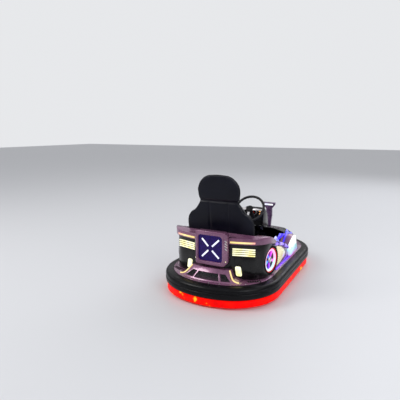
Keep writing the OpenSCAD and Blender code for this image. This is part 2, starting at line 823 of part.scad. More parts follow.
// Nose: hood line from the driver's feet forward as x and z, crowned towards both sides
nose_rear_x = cabin_front_x + 6;
nose_half = tub_outer;
socket_run = [drive_x - 70, drive_x + 50];
socket_drop = 35;
hood_line = [[nose_rear_x, hood_top], [drive_x - 210, hood_top - 28],
    [socket_run[0], hood_top - 70], [socket_run[1], hood_top - 70 - socket_drop], [far, 250]];
crown_y = 230;
crown_tilt = 14;
crown_z = 350;
module crowned() {
    intersection() {
        across(far) children();
        translate([0, crown_y, crown_z]) rotate([-crown_tilt, 0, 0]) translate([0, 0, -crown_z])
            across(2 * far) children();
        mirror([0, 1, 0]) translate([0, crown_y, crown_z]) rotate([-crown_tilt, 0, 0])
            translate([0, 0, -crown_z]) across(2 * far) children();
    }
}
module nose_block(inset) {
    intersection() {
        translate([0, 0, body_base]) linear_extrude(far) intersection() {
            body_plan(inset);
            translate([nose_rear_x - 2 * inset, inset - nose_half])
                square([far, 2 * (nose_half - inset)]);
        }
        crowned() under(hood_line, inset);
    }
}
module nose_shell() {
    color(gloss_black) difference() {
        nose_block(0);
        translate([0, 0, -1]) nose_block(panel);
        both_sides() head_lamp_place() cube([80, head_lamp_w, head_lamp_h], center = true);
        column_cut();
        socket_place() translate([0, 0, -panel - 20]) cylinder(r = socket_r, h = 40);
    }
}
head_lamp_w = nose_corner_r - 220;
head_lamp_h = 62;
head_lamp_z = 266;
head_lamp_angle = 34;
module head_lamp_place() {
    translate([nose_corner_x, nose_corner_y, head_lamp_z]) rotate([0, 0, head_lamp_angle])
        translate([nose_corner_r - 10, 0, 0]) children();
}
module head_lamps() {
    color(glow_warm) both_sides() head_lamp_place() strip_lamp(head_lamp_w, head_lamp_h);
}

// Nose block with the middle lamp, and the T-shaped mast that leans back on it
block_w = 224;
block_reach = 100;
block_top = 298;
block_round = 20;
nose_lamp_w = 176;
nose_lamp_h = 58;
nose_lamp_z = (body_base + block_top) / 2;
mast_t = 34;
mast_x = body_front + 79;
mast_lean = 6;
mast_foot_w = 32;
module mast_place() {
    translate([mast_x, 0, block_top]) rotate([0, -mast_lean, 0]) children();
}
module mast_outline() {
    head = mast_head_w / 2;
    neck = mast_neck_w / 2;
    foot = mast_foot_w / 2;
    neck_z = mast_height - 75;
    polygon([[-foot, -10], [foot, -10], [foot + 6, 70], [neck, 160], [neck, neck_z],
        [head - 4, mast_height - 28], [head, mast_height], [-head, mast_height],
        [4 - head, mast_height - 28], [-neck, neck_z], [-neck, 160], [-foot - 6, 70]]);
}
module nose_mast() {
    color(plum) {
        difference() {
            translate([body_front - 40, 0, body_base]) linear_extrude(block_top - body_base)
                translate([(block_reach + 40) / 2, 0])
                    rounded_rect(block_reach + 40, block_w, block_round);
            translate([0, 0, body_base - 1]) linear_extrude(far) body_plan(-fit_gap);
            translate([body_front + block_reach - 14, -nose_lamp_w / 2, nose_lamp_z - nose_lamp_h / 2])
                cube([40, nose_lamp_w, nose_lamp_h]);
        }
        mast_place() along(-mast_t / 2, mast_t / 2) mast_outline();
    }
}
module nose_lamp() {
    color(glow_white) translate([body_front + block_reach - 14 + fit_gap, fit_gap - nose_lamp_w / 2,
        nose_lamp_z - nose_lamp_h / 2 + fit_gap])
        cube([20, nose_lamp_w - 2 * fit_gap, nose_lamp_h - 2 * fit_gap]);
}
module mast_light_bar() {
    color(glow_white) mast_place()
        translate([-mast_t / 2 - fit_gap - 6, -mast_head_w / 3, mast_height - 32])
            cube([6, mast_head_w * 2 / 3, 20]);
}
beacon_r = 30;
module beacon() {
    color([0.95, 0.5, 0.15]) mast_place()
        translate([mast_t / 2 + fit_gap, 0, mast_height - 40]) rotate([0, 90, 0]) {
            cylinder(r = beacon_r, h = 8);
            translate([0, 0, 8]) cylinder(r1 = beacon_r - 4, r2 = beacon_r - 12, h = 20);
        }
}

// Charging socket, a tilted boss in the hood ahead of the dashboard
socket_r = 26;
socket_rim = 8;
socket_bore_r = 12;
socket_depth = 22;
socket_tilt = atan(socket_drop / (socket_run[1] - socket_run[0]));
module socket_place() {
    translate([(socket_run[0] + socket_run[1]) / 2, 0, hood_top - 70 - socket_drop / 2])
        rotate([0, socket_tilt, 0]) children();
}
module charge_socket() {
    color("silver") socket_place() difference() {
        union() {
            translate([0, 0, -28]) cylinder(r = socket_r - fit_gap, h = 28 + 1);
            translate([0, 0, fit_gap]) cylinder(r = socket_r + socket_rim, h = 5);
        }
        translate([0, 0, fit_gap + 5 - socket_depth]) cylinder(r = socket_bore_r,
            h = socket_depth + 1);
    }
}

// Dashboard: a narrow console on the hood, with its panel towards the driver
dash_x = drive_x - 310;
dash_half = 115;
dash_top = 655;
dash_reach = 222;
dash_wall = 12;
module dash_side(inset) {
    hood_back = lookup(dash_x, hood_line);
    polygon([[dash_x - inset, hood_back - inset * 5], [dash_x - inset, dash_top - inset],
        [dash_x + 40, dash_top - inset], [dash_x + 140 - inset, dash_top - 90 - inset],
        [dash_x + dash_reach - inset, hood_back - 40 - inset * 5]]);
}
module dash_front(inset) {
    half = dash_half - inset;
    polygon([[inset - dash_half + 20, 300], [dash_half - 20 - inset, 300],
        [half, dash_top - 80], [half, dash_top - 24 - inset], [half - 26, dash_top - inset],
        [26 - half, dash_top - inset], [-half, dash_top - 24 - inset], [-half, dash_top - 80]]);
}
module dash_cowl() {
    color(gloss_black) difference() {
        intersection() {
            across(dash_half) dash_side(0);
            along(dash_x - 1, dash_x + dash_reach + 1) dash_front(0);
        }
        intersection() {
            across(dash_half) dash_side(dash_wall);
            along(dash_x - dash_wall - 1, dash_x + dash_reach) dash_front(dash_wall);
        }
        crowned() under(hood_line, -fit_gap);
    }
}
module dash_panel() {
    color(gloss_black) difference() {
        along(dash_x + 14, dash_x + 24) intersection() {
            dash_front(dash_wall + fit_gap);
            translate([-dash_half, lookup(dash_x, hood_line) + 3]) square([2 * dash_half, far]);
        }
        column_cut();
    }
}

// Steering
column_low = [drive_x - 30, housing_top + 56];
hub_x = drive_x - 442;
hub_z = 660;
column_tilt = atan2(hub_z - column_low[1], column_low[0] - hub_x);
column_r = 16;
column_length = norm([hub_x - column_low[0], hub_z - column_low[1]]);
spindle_r = 8;
spindle_l = 41;
module steering_place() {
    translate([hub_x, 0, hub_z]) rotate([0, column_tilt - 90, 0]) children();
}
module column_cut() {
    steering_place() translate([0, 0, -column_length]) cylinder(r = column_r + 8,
        h = column_length);
}
module steering_column() {
    foot_y = 54;
    foot_t = 12;
    foot_l = 60;
    foot_x = column_low[0] - 24;
    foot_z = housing_top + fit_gap;
    color(steel) {
        steering_place() {
            translate([0, 0, -column_length]) cylinder(r = column_r, h = column_length - 40);
            translate([0, 0, -spindle_l]) cylinder(r = spindle_r, h = spindle_l);
        }
        for (side = [-1, 1]) translate([foot_x, side > 0 ? foot_y - foot_t : -foot_y, foot_z])
            cube([foot_l, foot_t, column_low[1] + 16 - foot_z]);
        translate([foot_x, -foot_y, column_low[1] - 12]) cube([foot_l, 2 * foot_y, 28]);
    }
}
spoke_wide = 30;
module steering_wheel() {
    color(soft_black) steering_place() {
        rotate_extrude() translate([rim_radius, 0]) circle(r = grip_radius, $fn = 48);
        difference() {
            union() {
                translate([0, 0, -34]) cylinder(r = 40, h = 40);
                for (turn = [90, 180, 270]) rotate([0, 0, turn])
                    translate([30, -spoke_wide / 2, -8])
                        cube([rim_radius - 36, spoke_wide, 8]);
            }
            translate([0, 0, -spindle_l]) cylinder(r = spindle_r + axle_clear,
                h = spindle_l + 0.5);
        }
    }
}

// Pedals on the plate, either side of the drive well
pedal_x = drive_x - 180;
pedal_y = 170;
pedal_arm = 90;
module pedals() {
    color(steel) for (side = [-1, 1]) translate([pedal_x, side * pedal_y, plate_top]) {
        translate([0, -8, 0]) cube([12, 16, pedal_arm]);
        translate([-8, 0, pedal_arm + 10]) rotate([0, -25, 0]) cube([10, 70, 110], center = true);
    }
}

// Seat box with the battery in it
seat_base_l = 450;
seat_base_w = 470;
seat_base_x = deck_opening_x + 267;
base_top = 252;
base_wall = 10;
module seat_base() {
    color(soft_black) difference() {
        translate([seat_base_x - seat_base_l / 2, -seat_base_w / 2, plate_top + fit_gap])
            cube([seat_base_l, seat_base_w, base_top - plate_top]);
        translate([seat_base_x - seat_base_l / 2 + base_wall, base_wall - seat_base_w / 2,
            plate_top - 1])
            cube([seat_base_l - 2 * base_wall, seat_base_w - 2 * base_wall,
                base_top - plate_top - base_wall + 1]);
    }
}
battery_l = 330;
battery_w = 420;
battery_h = 130;
module battery_pack() {
    color("dimgray") translate([seat_base_x + 15 - battery_l / 2, -battery_w / 2, plate_top])
        cube([battery_l, battery_w, battery_h]);
}

// Seat
back_pad_t = 60;
back_shell_t = 34;
back_foot = [seat_base_x - 121,
    base_top + 2 * fit_gap + (back_pad_t + back_shell_t) * sin(seat_lean)];
back_height = (seat_top - back_foot[1] + back_pad_t * sin(seat_lean)) / cos(seat_lean);
module back_place() {
    translate([back_foot[0], 0, back_foot[1]]) rotate([0, -seat_lean, 0]) children();
}
// Outline of the seat back across its width, from its foot up
seat_half = deck_inner - seat_gap;
shoulder_r = 130;
head_r = 150;
module back_outline(shrink = 0) {
    shoulder_h = back_height * 0.50;
    head = seat_head_width / 2;
    half = seat_half - shrink;
    polygon([[26 - half, 0], [half - 26, 0], [half, shoulder_h * 0.6], [half, shoulder_h - 30],
        [seat_half - shoulder_r * 0.32, shoulder_h + 20],
        [head - 10 - shrink, back_height * 0.70], [head - shrink, back_height - head_r],
        [shrink - head, back_height - head_r], [shrink - head + 10, back_height * 0.70],
        [shoulder_r * 0.32 - seat_half, shoulder_h + 20], [-half, shoulder_h - 30],
        [-half, shoulder_h * 0.6]]);
    for (side = [-1, 1]) {
        translate([side * (seat_half - shoulder_r), shoulder_h - 30])
            circle(r = shoulder_r - shrink);
        translate([side * (head - head_r), back_height - head_r]) circle(r = head_r - shrink);
    }
    translate([head_r - head, back_height - 2 * head_r])
        square([seat_head_width - 2 * head_r, 2 * head_r - shrink]);
}
module back_slab(near, deep, shrink = 0) {
    back_place() translate([-near - deep, 0, 0]) rotate([90, 0, 90]) linear_extrude(deep)
        back_outline(shrink);
}
module seat_shell() {
    color(soft_black) back_slab(back_pad_t, back_shell_t);
}
pad_border = 14;
module seat_back_pad() {
    color("black") back_slab(0, back_pad_t - fit_gap, pad_border);
}
cushion_l = 440;
cushion_w = 500;
module seat_cushion() {
    color("black") translate([back_foot[0] + 6, -cushion_w / 2, base_top + 2 * fit_gap])
        cube([cushion_l, cushion_w, cushion_top - base_top - 2 * fit_gap]);
}

bumper_ring();
light_skirt();
chassis_plate();
chassis_tubes();
battery_pack();
rear_axle_mounts();
rear_wheel(1);  // rear_wheel_left
rear_wheel(-1);  // rear_wheel_right
drive_fork();
drive_housing();
drive_wheel();
body_ledge();
rear_valance();
rear_fascia();
rear_deck();
cross_lamp_frame();
cross_lamp_panel();
cross_lamp_bars();
tail_lamps();
deck_light_strips();
rear_marker_lamps();
side_wheels();
side_lamps();
side_walls();
cabin_tub();
arch_lights();
front_fenders();
corner_lamps();
fender_blades();
nose_shell();
head_lamps();
nose_mast();
nose_lamp();
mast_light_bar();
beacon();
dash_cowl();
dash_panel();
steering_column();
steering_wheel();
pedals();
seat_base();
seat_shell();
seat_cushion();
seat_back_pad();
charge_socket();
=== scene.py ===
# %% [markdown]
# A bumper car is a battery vehicle for one rider, wrapped in a thick rubber ring. This file dresses
# its solid parts with light, paint, rubber and upholstery. The solid parts never move: each new
# piece is made in the same place, in metres, with +X forward, +Y to the rider's left and Z up.

import json
import math

import bpy
from mathutils import Matrix, Vector
from mathutils.bvhtree import BVHTree

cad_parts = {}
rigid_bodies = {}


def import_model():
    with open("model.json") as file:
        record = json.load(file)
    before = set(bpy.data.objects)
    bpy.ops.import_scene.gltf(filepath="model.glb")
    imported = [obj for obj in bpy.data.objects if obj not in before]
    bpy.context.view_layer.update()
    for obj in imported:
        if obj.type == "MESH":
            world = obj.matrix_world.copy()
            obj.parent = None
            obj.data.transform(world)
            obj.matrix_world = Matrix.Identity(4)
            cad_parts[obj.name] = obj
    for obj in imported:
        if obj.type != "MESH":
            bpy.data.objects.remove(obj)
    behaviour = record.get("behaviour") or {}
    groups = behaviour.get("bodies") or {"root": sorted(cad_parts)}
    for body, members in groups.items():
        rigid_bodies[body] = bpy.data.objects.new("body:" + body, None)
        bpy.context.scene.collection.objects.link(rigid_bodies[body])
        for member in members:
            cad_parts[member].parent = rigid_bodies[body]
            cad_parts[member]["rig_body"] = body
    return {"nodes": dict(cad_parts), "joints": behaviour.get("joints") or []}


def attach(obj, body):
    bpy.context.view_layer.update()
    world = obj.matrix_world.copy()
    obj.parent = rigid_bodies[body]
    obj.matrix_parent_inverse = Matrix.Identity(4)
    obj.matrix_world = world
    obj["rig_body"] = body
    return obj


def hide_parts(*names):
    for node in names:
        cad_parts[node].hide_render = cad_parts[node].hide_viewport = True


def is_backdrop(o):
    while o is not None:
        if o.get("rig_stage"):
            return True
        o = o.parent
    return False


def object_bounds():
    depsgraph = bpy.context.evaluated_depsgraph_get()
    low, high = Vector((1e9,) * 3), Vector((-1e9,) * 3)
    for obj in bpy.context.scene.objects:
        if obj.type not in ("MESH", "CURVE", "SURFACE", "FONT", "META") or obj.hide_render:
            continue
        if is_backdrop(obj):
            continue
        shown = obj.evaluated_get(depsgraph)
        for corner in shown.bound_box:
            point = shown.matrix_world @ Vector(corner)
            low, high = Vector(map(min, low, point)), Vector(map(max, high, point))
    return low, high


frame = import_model()
solid = frame["nodes"]
joint_of = {joint["child"]: joint for joint in frame["joints"]}
cad_low, cad_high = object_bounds()
print("solid parts:", len(solid), "size:", [round(x, 3) for x in cad_high - cad_low])

# %% [markdown]
# The camera comes first, because every later choice is judged through it. It stands behind the
# car's right rear corner at standing eye height, and looks slightly down, with a lens as wide as
# the sensor. A real camera turns about its own axes: first it tips down from looking ahead, then
# it turns about the upright axis.

# %% Camera
def in_scene(name, data):
    thing = bpy.data.objects.new(name, data)
    bpy.context.scene.collection.objects.link(thing)
    return thing


camera_data = bpy.data.cameras.new("camera")
camera_data.sensor_width = 36.0
camera_data.lens = 36.05
camera = in_scene("camera", camera_data)
camera.location = (-3.851, -1.511, 1.50)
camera_dip = math.radians(9.915)
camera_heading = 0.4851
camera.rotation_euler = (math.pi / 2 - camera_dip, 0, camera_heading - math.pi / 2)
bpy.context.scene.camera = camera

# %% [markdown]
# A studio is a pale floor, a pale surround, three large soft lamps and a wide light from above, as
# under an overcast sky. Large lamps make broad, soft highlights, which show the shape of gloss
# paint better than a small hard one. The surround is bright only where it is seen directly.
# Mirrored in black lacquer it would turn the black to grey.

# %% Studio
bpy.context.scene.view_settings.view_transform = "Standard"
world = bpy.data.worlds.new("studio")
bpy.context.scene.world = world
world.use_nodes = True
sky = world.node_tree
sky.nodes.clear()
either_sky = sky.nodes.new("ShaderNodeMixShader")
path = sky.nodes.new("ShaderNodeLightPath")
sky.links.new(path.outputs["Is Camera Ray"], either_sky.inputs[0])
mirrored_sky = ((0.90, 0.92, 1.0, 1), 0.24)
seen_sky = ((0.80, 0.81, 0.83, 1), 1.0)
for place, (colour, strength) in enumerate((mirrored_sky, seen_sky), start=1):
    glow = sky.nodes.new("ShaderNodeBackground")
    glow.inputs["Color"].default_value = colour
    glow.inputs["Strength"].default_value = strength
    sky.links.new(glow.outputs[0], either_sky.inputs[place])
sky_out = sky.nodes.new("ShaderNodeOutputWorld")
sky.links.new(either_sky.outputs[0], sky_out.inputs["Surface"])


def soft_lamp(name, place, target, size, power, colour):
    data = bpy.data.lights.new(name, "AREA")
    data.shape = "DISK"
    data.size = size
    data.energy = power
    data.color = colour
    made = in_scene(name, data)
    made.location = place
    aim = Vector(target) - Vector(place)
    made.rotation_euler = aim.to_track_quat("-Z", "Y").to_euler()


soft_lamp("key_lamp", (-4.4, 4.8, 5.8), (0, 0, 0.4), 3.8, 275, (1.0, 0.98, 0.96))
soft_lamp("fill_lamp", (-3.7, -6.1, 4.0), (0, 0, 0.4), 4.4, 173, (0.95, 0.97, 1.0))
soft_lamp("rim_lamp", (6.5, -2.0, 5.8), (0, 0, 0.5), 7.0, 245, (0.97, 0.97, 1.0))
overcast = bpy.data.lights.new("overcast", "SUN")
overcast.angle = math.radians(150)
overcast.energy = 1.35
in_scene("overcast", overcast)

# %% [markdown]
# A finish is a small network of nodes. These helpers add one node each. A value that is the same
# all over a piece goes straight onto the shader, and only what varies is wired up. All patterns
# read Object coordinates, which here are the car's own metres.

# %% Helpers for finishes
def put(socket, value):
    if isinstance(value, bpy.types.NodeSocket):
        socket.id_data.links.new(value, socket)
    else:
        socket.default_value = value


def add(material, kind, settings=None, **inputs):
    made = material.node_tree.nodes.new("ShaderNode" + kind)
    for key, value in (settings or {}).items():
        setattr(made, key, value)
    for key, value in inputs.items():
        put(made.inputs[key.replace("_", " ")], value)
    return made


def calc(material, operation, *values):
    made = add(material, "Math", {"operation": operation})
    for socket, value in zip(made.inputs, values):
        put(socket, value)
    return made.outputs[0]


def place_of(material):
    return add(material, "TexCoord").outputs["Object"]


def mottle(material, scale, detail=4.0, where=None):
    where = where or place_of(material)
    made = add(material, "TexNoise", Scale=scale, Detail=detail, Vector=where)
    return made.outputs[0]


def cells(material, scale, feature="F1", where=None):
    where = where or place_of(material)
    made = add(material, "TexVoronoi", {"feature": feature}, Scale=scale, Vector=where)
    return made.outputs[0]


def stops(material, value, *colours):
    """A colour ramp. Each stop is (place from 0 to 1, red, green, blue)."""
    made = add(material, "ValToRGB", Fac=value)
    ramp = made.color_ramp
    while len(ramp.elements) < len(colours):
        ramp.elements.new(0.5)
    for element, (position, *rgb) in zip(ramp.elements, colours):
        element.position = position
        element.color = (*rgb, 1)
    return made.outputs["Color"]


def spread(material, value, low, high, start=0.0, end=1.0):
    made = add(material, "MapRange", Value=value, From_Min=start, From_Max=end,
               To_Min=low, To_Max=high)
    return made.outputs["Result"]


def relief(material, height, strength, depth, under=None):
    made = add(material, "Bump", Height=height, Strength=strength, Distance=depth)
    if under is not None:
        put(made.inputs["Normal"], under)
    return made.outputs["Normal"]


def surface(name, rough=0.4, metal=0.0, coat=0.0, coat_rough=0.05, shine=0.5):
    material = bpy.data.materials.new(name)
    material.use_nodes = True
    inputs = material.node_tree.nodes["Principled BSDF"].inputs
    constants = {"Roughness": rough, "Metallic": metal, "Specular IOR Level": shine,
                 "Coat Weight": coat, "Coat Roughness": coat_rough}
    for socket, value in constants.items():
        inputs[socket].default_value = value
    return material, inputs


# %% [markdown]
# Paint first. The body shell is lacquered moulding: a dark plum with fine flake under clear coat on
# the deck and fenders, and plain black elsewhere. Real lacquer isn't a perfect mirror. Its faint
# waviness bends reflections, and dust and cloths leave slightly duller patches, so the roughness
# wanders too.

# %% Lacquers
def lacquer(name, dark, light, flake, coat):
    material, inputs = surface(name, coat=coat, coat_rough=0.06, shine=0.25)
    inputs["Metallic"].default_value = flake
    broad = mottle(material, 5.0, 5.0)
    sparkle = cells(material, 900.0)
    mixed = calc(material, "MULTIPLY_ADD", sparkle, flake, broad)
    put(inputs["Base Color"], stops(material, mixed, (0.35, *dark), (0.75, *light)))
    haze = mottle(material, 14.0, 8.0)
    put(inputs["Roughness"], spread(material, haze, 0.18, 0.42, 0.3, 0.7))
    wave = relief(material, mottle(material, 38.0, 2.0), 0.04, 0.002)
    peel = relief(material, mottle(material, 420.0, 2.0), 0.05, 0.0004, wave)
    put(inputs["Normal"], peel)
    return material


plum_lacquer = lacquer("plum_lacquer", (0.125, 0.040, 0.095), (0.26, 0.11, 0.20), 0.35, 1.0)
black_lacquer = lacquer("black_lacquer", (0.001, 0.001, 0.0012), (0.002, 0.002, 0.0024), 0.0, 0.28)
graphite_lacquer = lacquer("graphite_lacquer", (0.06, 0.03, 0.08), (0.15, 0.08, 0.19), 0.4, 1.0)

# %% [markdown]
# The ring is moulded rubber. It has rubbed along walls and other cars, so it is polished in streaks
# that run round the car, with grey scuffs between them. Tyres and moulded plastic wear the same
# way, so they share the recipe with other greys and a finer grain.

# %% Rubber, tyre and moulded plastic
def squeezed(material, scale):
    """Places scaled along each axis, which stretches a pattern into streaks."""
    return add(material, "Mapping", Vector=place_of(material), Scale=scale).outputs[0]


def rubber(name, black, grey, low, high, grain):
    material, inputs = surface(name, shine=0.14)
    streak = mottle(material, 7.0, 9.0, squeezed(material, (1.0, 1.0, 9.0)))
    greys = stops(material, streak, (0.45, *black), (0.58, *black), (0.74, *grey))
    put(inputs["Base Color"], greys)
    put(inputs["Roughness"], spread(material, streak, low, high, 0.35, 0.7))
    put(inputs["Normal"], relief(material, mottle(material, grain, 3.0), 0.10, 0.0006))
    return material


ring_rubber = rubber("ring_rubber", (0.003, 0.003, 0.004), (0.022, 0.021, 0.025), 0.22, 0.46, 480)
tyre_rubber = rubber("tyre_rubber", (0.007, 0.007, 0.008), (0.040, 0.036, 0.034), 0.55, 0.85, 700)
moulded_black = rubber("moulded_black", (0.009, 0.009, 0.01), (0.024, 0.024, 0.027), 0.45, 0.65,
                       1100)
battery_case = rubber("battery_case", (0.03, 0.03, 0.032), (0.07, 0.07, 0.072), 0.5, 0.7, 900)

# %% [markdown]
# Metal comes in two finishes: painted steel with small chips, and bare metal that is brushed along
# one direction. Pointiness would find the edges where paint chips first, but it is lost outside
# this renderer, so a coarse noise decides where the steel shows.

# %% Metals
def painted_steel(name):
    material, inputs = surface(name)
    chips = mottle(material, 26.0, 12.0)
    worn = spread(material, chips, 0.0, 1.0, 0.70, 0.74)
    paint = stops(material, worn, (0.0, 0.035, 0.036, 0.04), (1.0, 0.32, 0.31, 0.30))
    put(inputs["Base Color"], paint)
    put(inputs["Metallic"], worn)
    put(inputs["Roughness"], spread(material, chips, 0.35, 0.6))
    put(inputs["Normal"], relief(material, worn, 0.3, -0.0004))
    return material


def brushed(name, colour, scale):
    material, inputs = surface(name, metal=1.0)
    lines = mottle(material, 160.0, 6.0, squeezed(material, scale))
    darker = [0.72 * part for part in colour]
    put(inputs["Base Color"], stops(material, lines, (0.3, *darker), (0.7, *colour)))
    put(inputs["Roughness"], spread(material, lines, 0.22, 0.42, 0.3, 0.7))
    put(inputs["Normal"], relief(material, lines, 0.15, 0.0002))
    return material


chassis_paint = painted_steel("chassis_paint")
pedal_aluminium = brushed("pedal_aluminium", (0.70, 0.71, 0.73), (1.0, 14.0, 1.0))
bright_zinc = brushed("bright_zinc", (0.62, 0.62, 0.60), (3.0, 3.0, 1.0))
trim_chrome = brushed("trim_chrome", (0.74, 0.72, 0.74), (1.0, 1.0, 6.0))

# %% [markdown]
# The lamps are light strips behind frosted plastic. A strip isn't evenly bright, because the diodes
# behind it show as soft beads. The emission carries that pattern in full colour. The body of the
# plastic has the same pattern, but darker, because a lamp that is lit from inside mustn't also be
# washed out by the light that falls on it.

# %% Lamp finishes
def lit(material, inputs, level, shades, glow, body=0.35):
    """Emission in the stops' colours, over plastic in a darker version of them."""
    dark = [(place, *(body * part for part in rgb)) for place, *rgb in shades]
    put(inputs["Base Color"], stops(material, level, *dark))
    put(inputs["Emission Color"], stops(material, level, *shades))
    inputs["Emission Strength"].default_value = glow


def lamp(name, shades, glow, bead=60.0):
    """Shades are stops from dim to bright over soft beads of light."""
    material, inputs = surface(name, rough=0.3, coat=0.4)
    beads = cells(material, bead, "SMOOTH_F1")
    haze = mottle(material, bead / 4, 3.0)
    level = calc(material, "MULTIPLY_ADD", beads, -0.25, haze)
    lit(material, inputs, level, shades, glow)
    put(inputs["Normal"], relief(material, mottle(material, 900.0, 2.0), 0.08, 0.0003))
    return material


warm_lamp = lamp("warm_lamp", ((0.10, 0.84, 0.70, 0.20), (0.28, 1.0, 0.95, 0.48),
                               (0.50, 1.0, 1.0, 0.74)), 1.1)
white_lamp = lamp("white_lamp", ((0.10, 0.60, 0.66, 1.0), (0.45, 0.93, 0.94, 1.0)), 1.0)
violet_lamp = lamp("violet_lamp", ((0.10, 0.10, 0.03, 0.62), (0.40, 0.26, 0.13, 0.90),
                                   (0.62, 0.52, 0.40, 1.0)), 0.95, 40.0)
amber_lamp = lamp("amber_lamp", ((0.1, 0.75, 0.12, 0.02), (0.5, 1.0, 0.42, 0.08)), 0.9, 90.0)

# %% [markdown]
# Some lamps change colour across one piece: the blades fade from violet at the foot to white at
# the tip, and the side wheels' rims from white to pink. Each reads the place on the car. The two
# sides are mirror images, so such patterns use the distance from the middle, not the side.

# %% Lamps that change colour along the piece
def split(material):
    parts = add(material, "SeparateXYZ", Vector=place_of(material)).outputs
    return parts["X"], calc(material, "ABSOLUTE", parts["Y"]), parts["Z"]


def shaded(name, axis, start, end, shades, glow, rough=0.18):
    """Colour stops along an axis from start to end, with soft cloudy changes."""
    material, inputs = surface(name, rough=rough, coat=0.7)
    share = spread(material, split(material)[axis], 0.0, 1.0, start, end)
    shifted = calc(material, "SUBTRACT", share, 0.25)
    cloudy = calc(material, "MULTIPLY_ADD", mottle(material, 22.0, 3.0), 0.5, shifted)
    lit(material, inputs, cloudy, shades, glow)
    put(inputs["Normal"], relief(material, mottle(material, 260.0), 0.05, 0.0005))
    return material


ALONG, ASIDE, UP = 0, 1, 2
blade_light = shaded("blade_light", UP, 0.30, 0.50,
                     ((0.0, 0.16, 0.01, 0.62), (0.35, 0.03, 0.015, 0.78), (0.72, 0.07, 0.05, 1.0),
                      (0.92, 0.55, 0.58, 1.0)), 1.0, 0.12)
dome_light = shaded("dome_light", UP, 0.204, 0.388,
                    ((0.0, 1.0, 0.12, 0.62), (0.2, 0.62, 0.62, 1.0), (0.42, 0.45, 0.90, 1.0),
                     (0.66, 0.98, 1.0, 1.0)), 1.0, 0.15)
# The fin lamps' lens has prisms moulded in, which take the place of the soft waves.
prism = relief(dome_light, cells(dome_light, 26.0, "DISTANCE_TO_EDGE"), 0.6, 0.004)
put(dome_light.node_tree.nodes["Principled BSDF"].inputs["Normal"], prism)
foot_light = shaded("foot_light", ALONG, -0.40, 0.60,
                    ((0.0, 0.16, 0.03, 0.80), (0.5, 0.08, 0.03, 1.0), (1.0, 0.30, 0.03, 0.85)), 3.4)
lip_light = shaded("lip_light", ASIDE, 0.17, 0.39,
                   ((0.0, 0.95, 0.68, 0.22), (0.6, 1.0, 0.80, 0.34), (1.0, 0.95, 0.36, 0.34)), 0.95)
rim_light = shaded("rim_light", UP, 0.23, 0.44,
                   ((0.0, 0.95, 0.95, 1.0), (0.25, 0.55, 0.90, 1.0), (0.45, 1.0, 0.62, 0.92),
                    (0.8, 1.0, 0.50, 0.80)), 1.0)
spoke_light = shaded("spoke_light", ALONG, -0.54, -0.38,
                     ((0.0, 0.02, 0.60, 1.0), (0.3, 0.12, 0.05, 1.0), (0.65, 0.75, 0.03, 0.80),
                      (1.0, 1.0, 0.2, 0.7)), 1.0)

# %% [markdown]
# Three lamps have a pattern of their own. The skirt is red with a few yellow flickers, the square
# lamp is a screen of small dots, and the side lamps have slanted ribs moulded into the lens.

# %% Lamps with patterns
def flickering(name):
    material, inputs = surface(name, rough=0.45, shine=0.1)
    diodes = cells(material, 34.0, "SMOOTH_F1")
    flicker = calc(material, "MULTIPLY_ADD", diodes, -0.26, mottle(material, 11.0, 1.0))
    lit(material, inputs, flicker,
        ((0.12, 0.80, 0.0, 0.0), (0.30, 0.98, 0.0, 0.0), (0.55, 1.0, 0.006, 0.0),
         (0.62, 1.0, 0.50, 0.02)), 1.05, 0.08)
    return material


def dotted(name):
    material, inputs = surface(name, rough=0.22, coat=0.1, shine=0.2)
    _, aside, up = split(material)
    flat = add(material, "CombineXYZ", Y=aside, Z=up).outputs[0]
    dots = spread(material, cells(material, 240.0, "F1", flat), 1.0, 0.0, 0.14, 0.34)
    sparks = spread(material, mottle(material, 130.0, 1.0, flat), 0.25, 1.0, 0.45, 0.7)
    lit(material, inputs, calc(material, "MULTIPLY", dots, sparks),
        ((0.0, 0.008, 0.0, 0.060), (0.4, 0.024, 0.002, 0.30), (1.0, 0.16, 0.06, 1.0)), 0.9, 0.15)
    return material


def ribbed(name):
    material, inputs = surface(name, rough=0.22, coat=0.6)
    along, _, up = split(material)
    slant = calc(material, "MULTIPLY", calc(material, "ADD", along, up), 300.0)
    ribs = calc(material, "SINE", slant)
    lit(material, inputs, spread(material, ribs, 0.0, 1.0, -1.0, 1.0),
        ((0.0, 0.50, 0.40, 0.14), (0.6, 0.86, 0.80, 0.40), (1.0, 1.0, 0.98, 0.66)), 0.9)
    put(inputs["Normal"], relief(material, ribs, 0.35, 0.0012))
    return material


skirt_light = flickering("skirt_light")
dot_screen = dotted("dot_screen")
hatch_lamp = ribbed("hatch_lamp")

# %% [markdown]
# The seat is black upholstery vinyl with a touch of navy. Its grain is a net of pebbles under two
# millimetres across, on soft folds. Patches are rubbed a little paler and duller by riders.

# %% Vinyl and thread
def vinyl(name, black, worn):
    material, inputs = surface(name, coat=0.03, coat_rough=0.35, shine=0.2)
    pebbles = cells(material, 620.0, "SMOOTH_F1")
    rubbed = mottle(material, 6.0, 6.0)
    put(inputs["Base Color"], stops(material, rubbed, (0.35, *black), (0.75, *worn)))
    put(inputs["Roughness"], spread(material, rubbed, 0.34, 0.58, 0.3, 0.7))
    folds = relief(material, mottle(material, 42.0, 4.0), 0.12, 0.003)
    put(inputs["Normal"], relief(material, pebbles, 0.30, 0.0007, folds))
    return material


seat_vinyl = vinyl("seat_vinyl", (0.0015, 0.0018, 0.006), (0.005, 0.006, 0.014))
piping_vinyl = vinyl("piping_vinyl", (0.010, 0.010, 0.013), (0.03, 0.03, 0.035))
thread_grey = rubber("thread_grey", (0.16, 0.16, 0.17), (0.26, 0.26, 0.27), 0.6, 0.8, 2600.0)

# %% [markdown]
# Every solid part that stays in view gets its finish now. The ones that a finer piece replaces
# later still get one, so nothing is ever left bare.

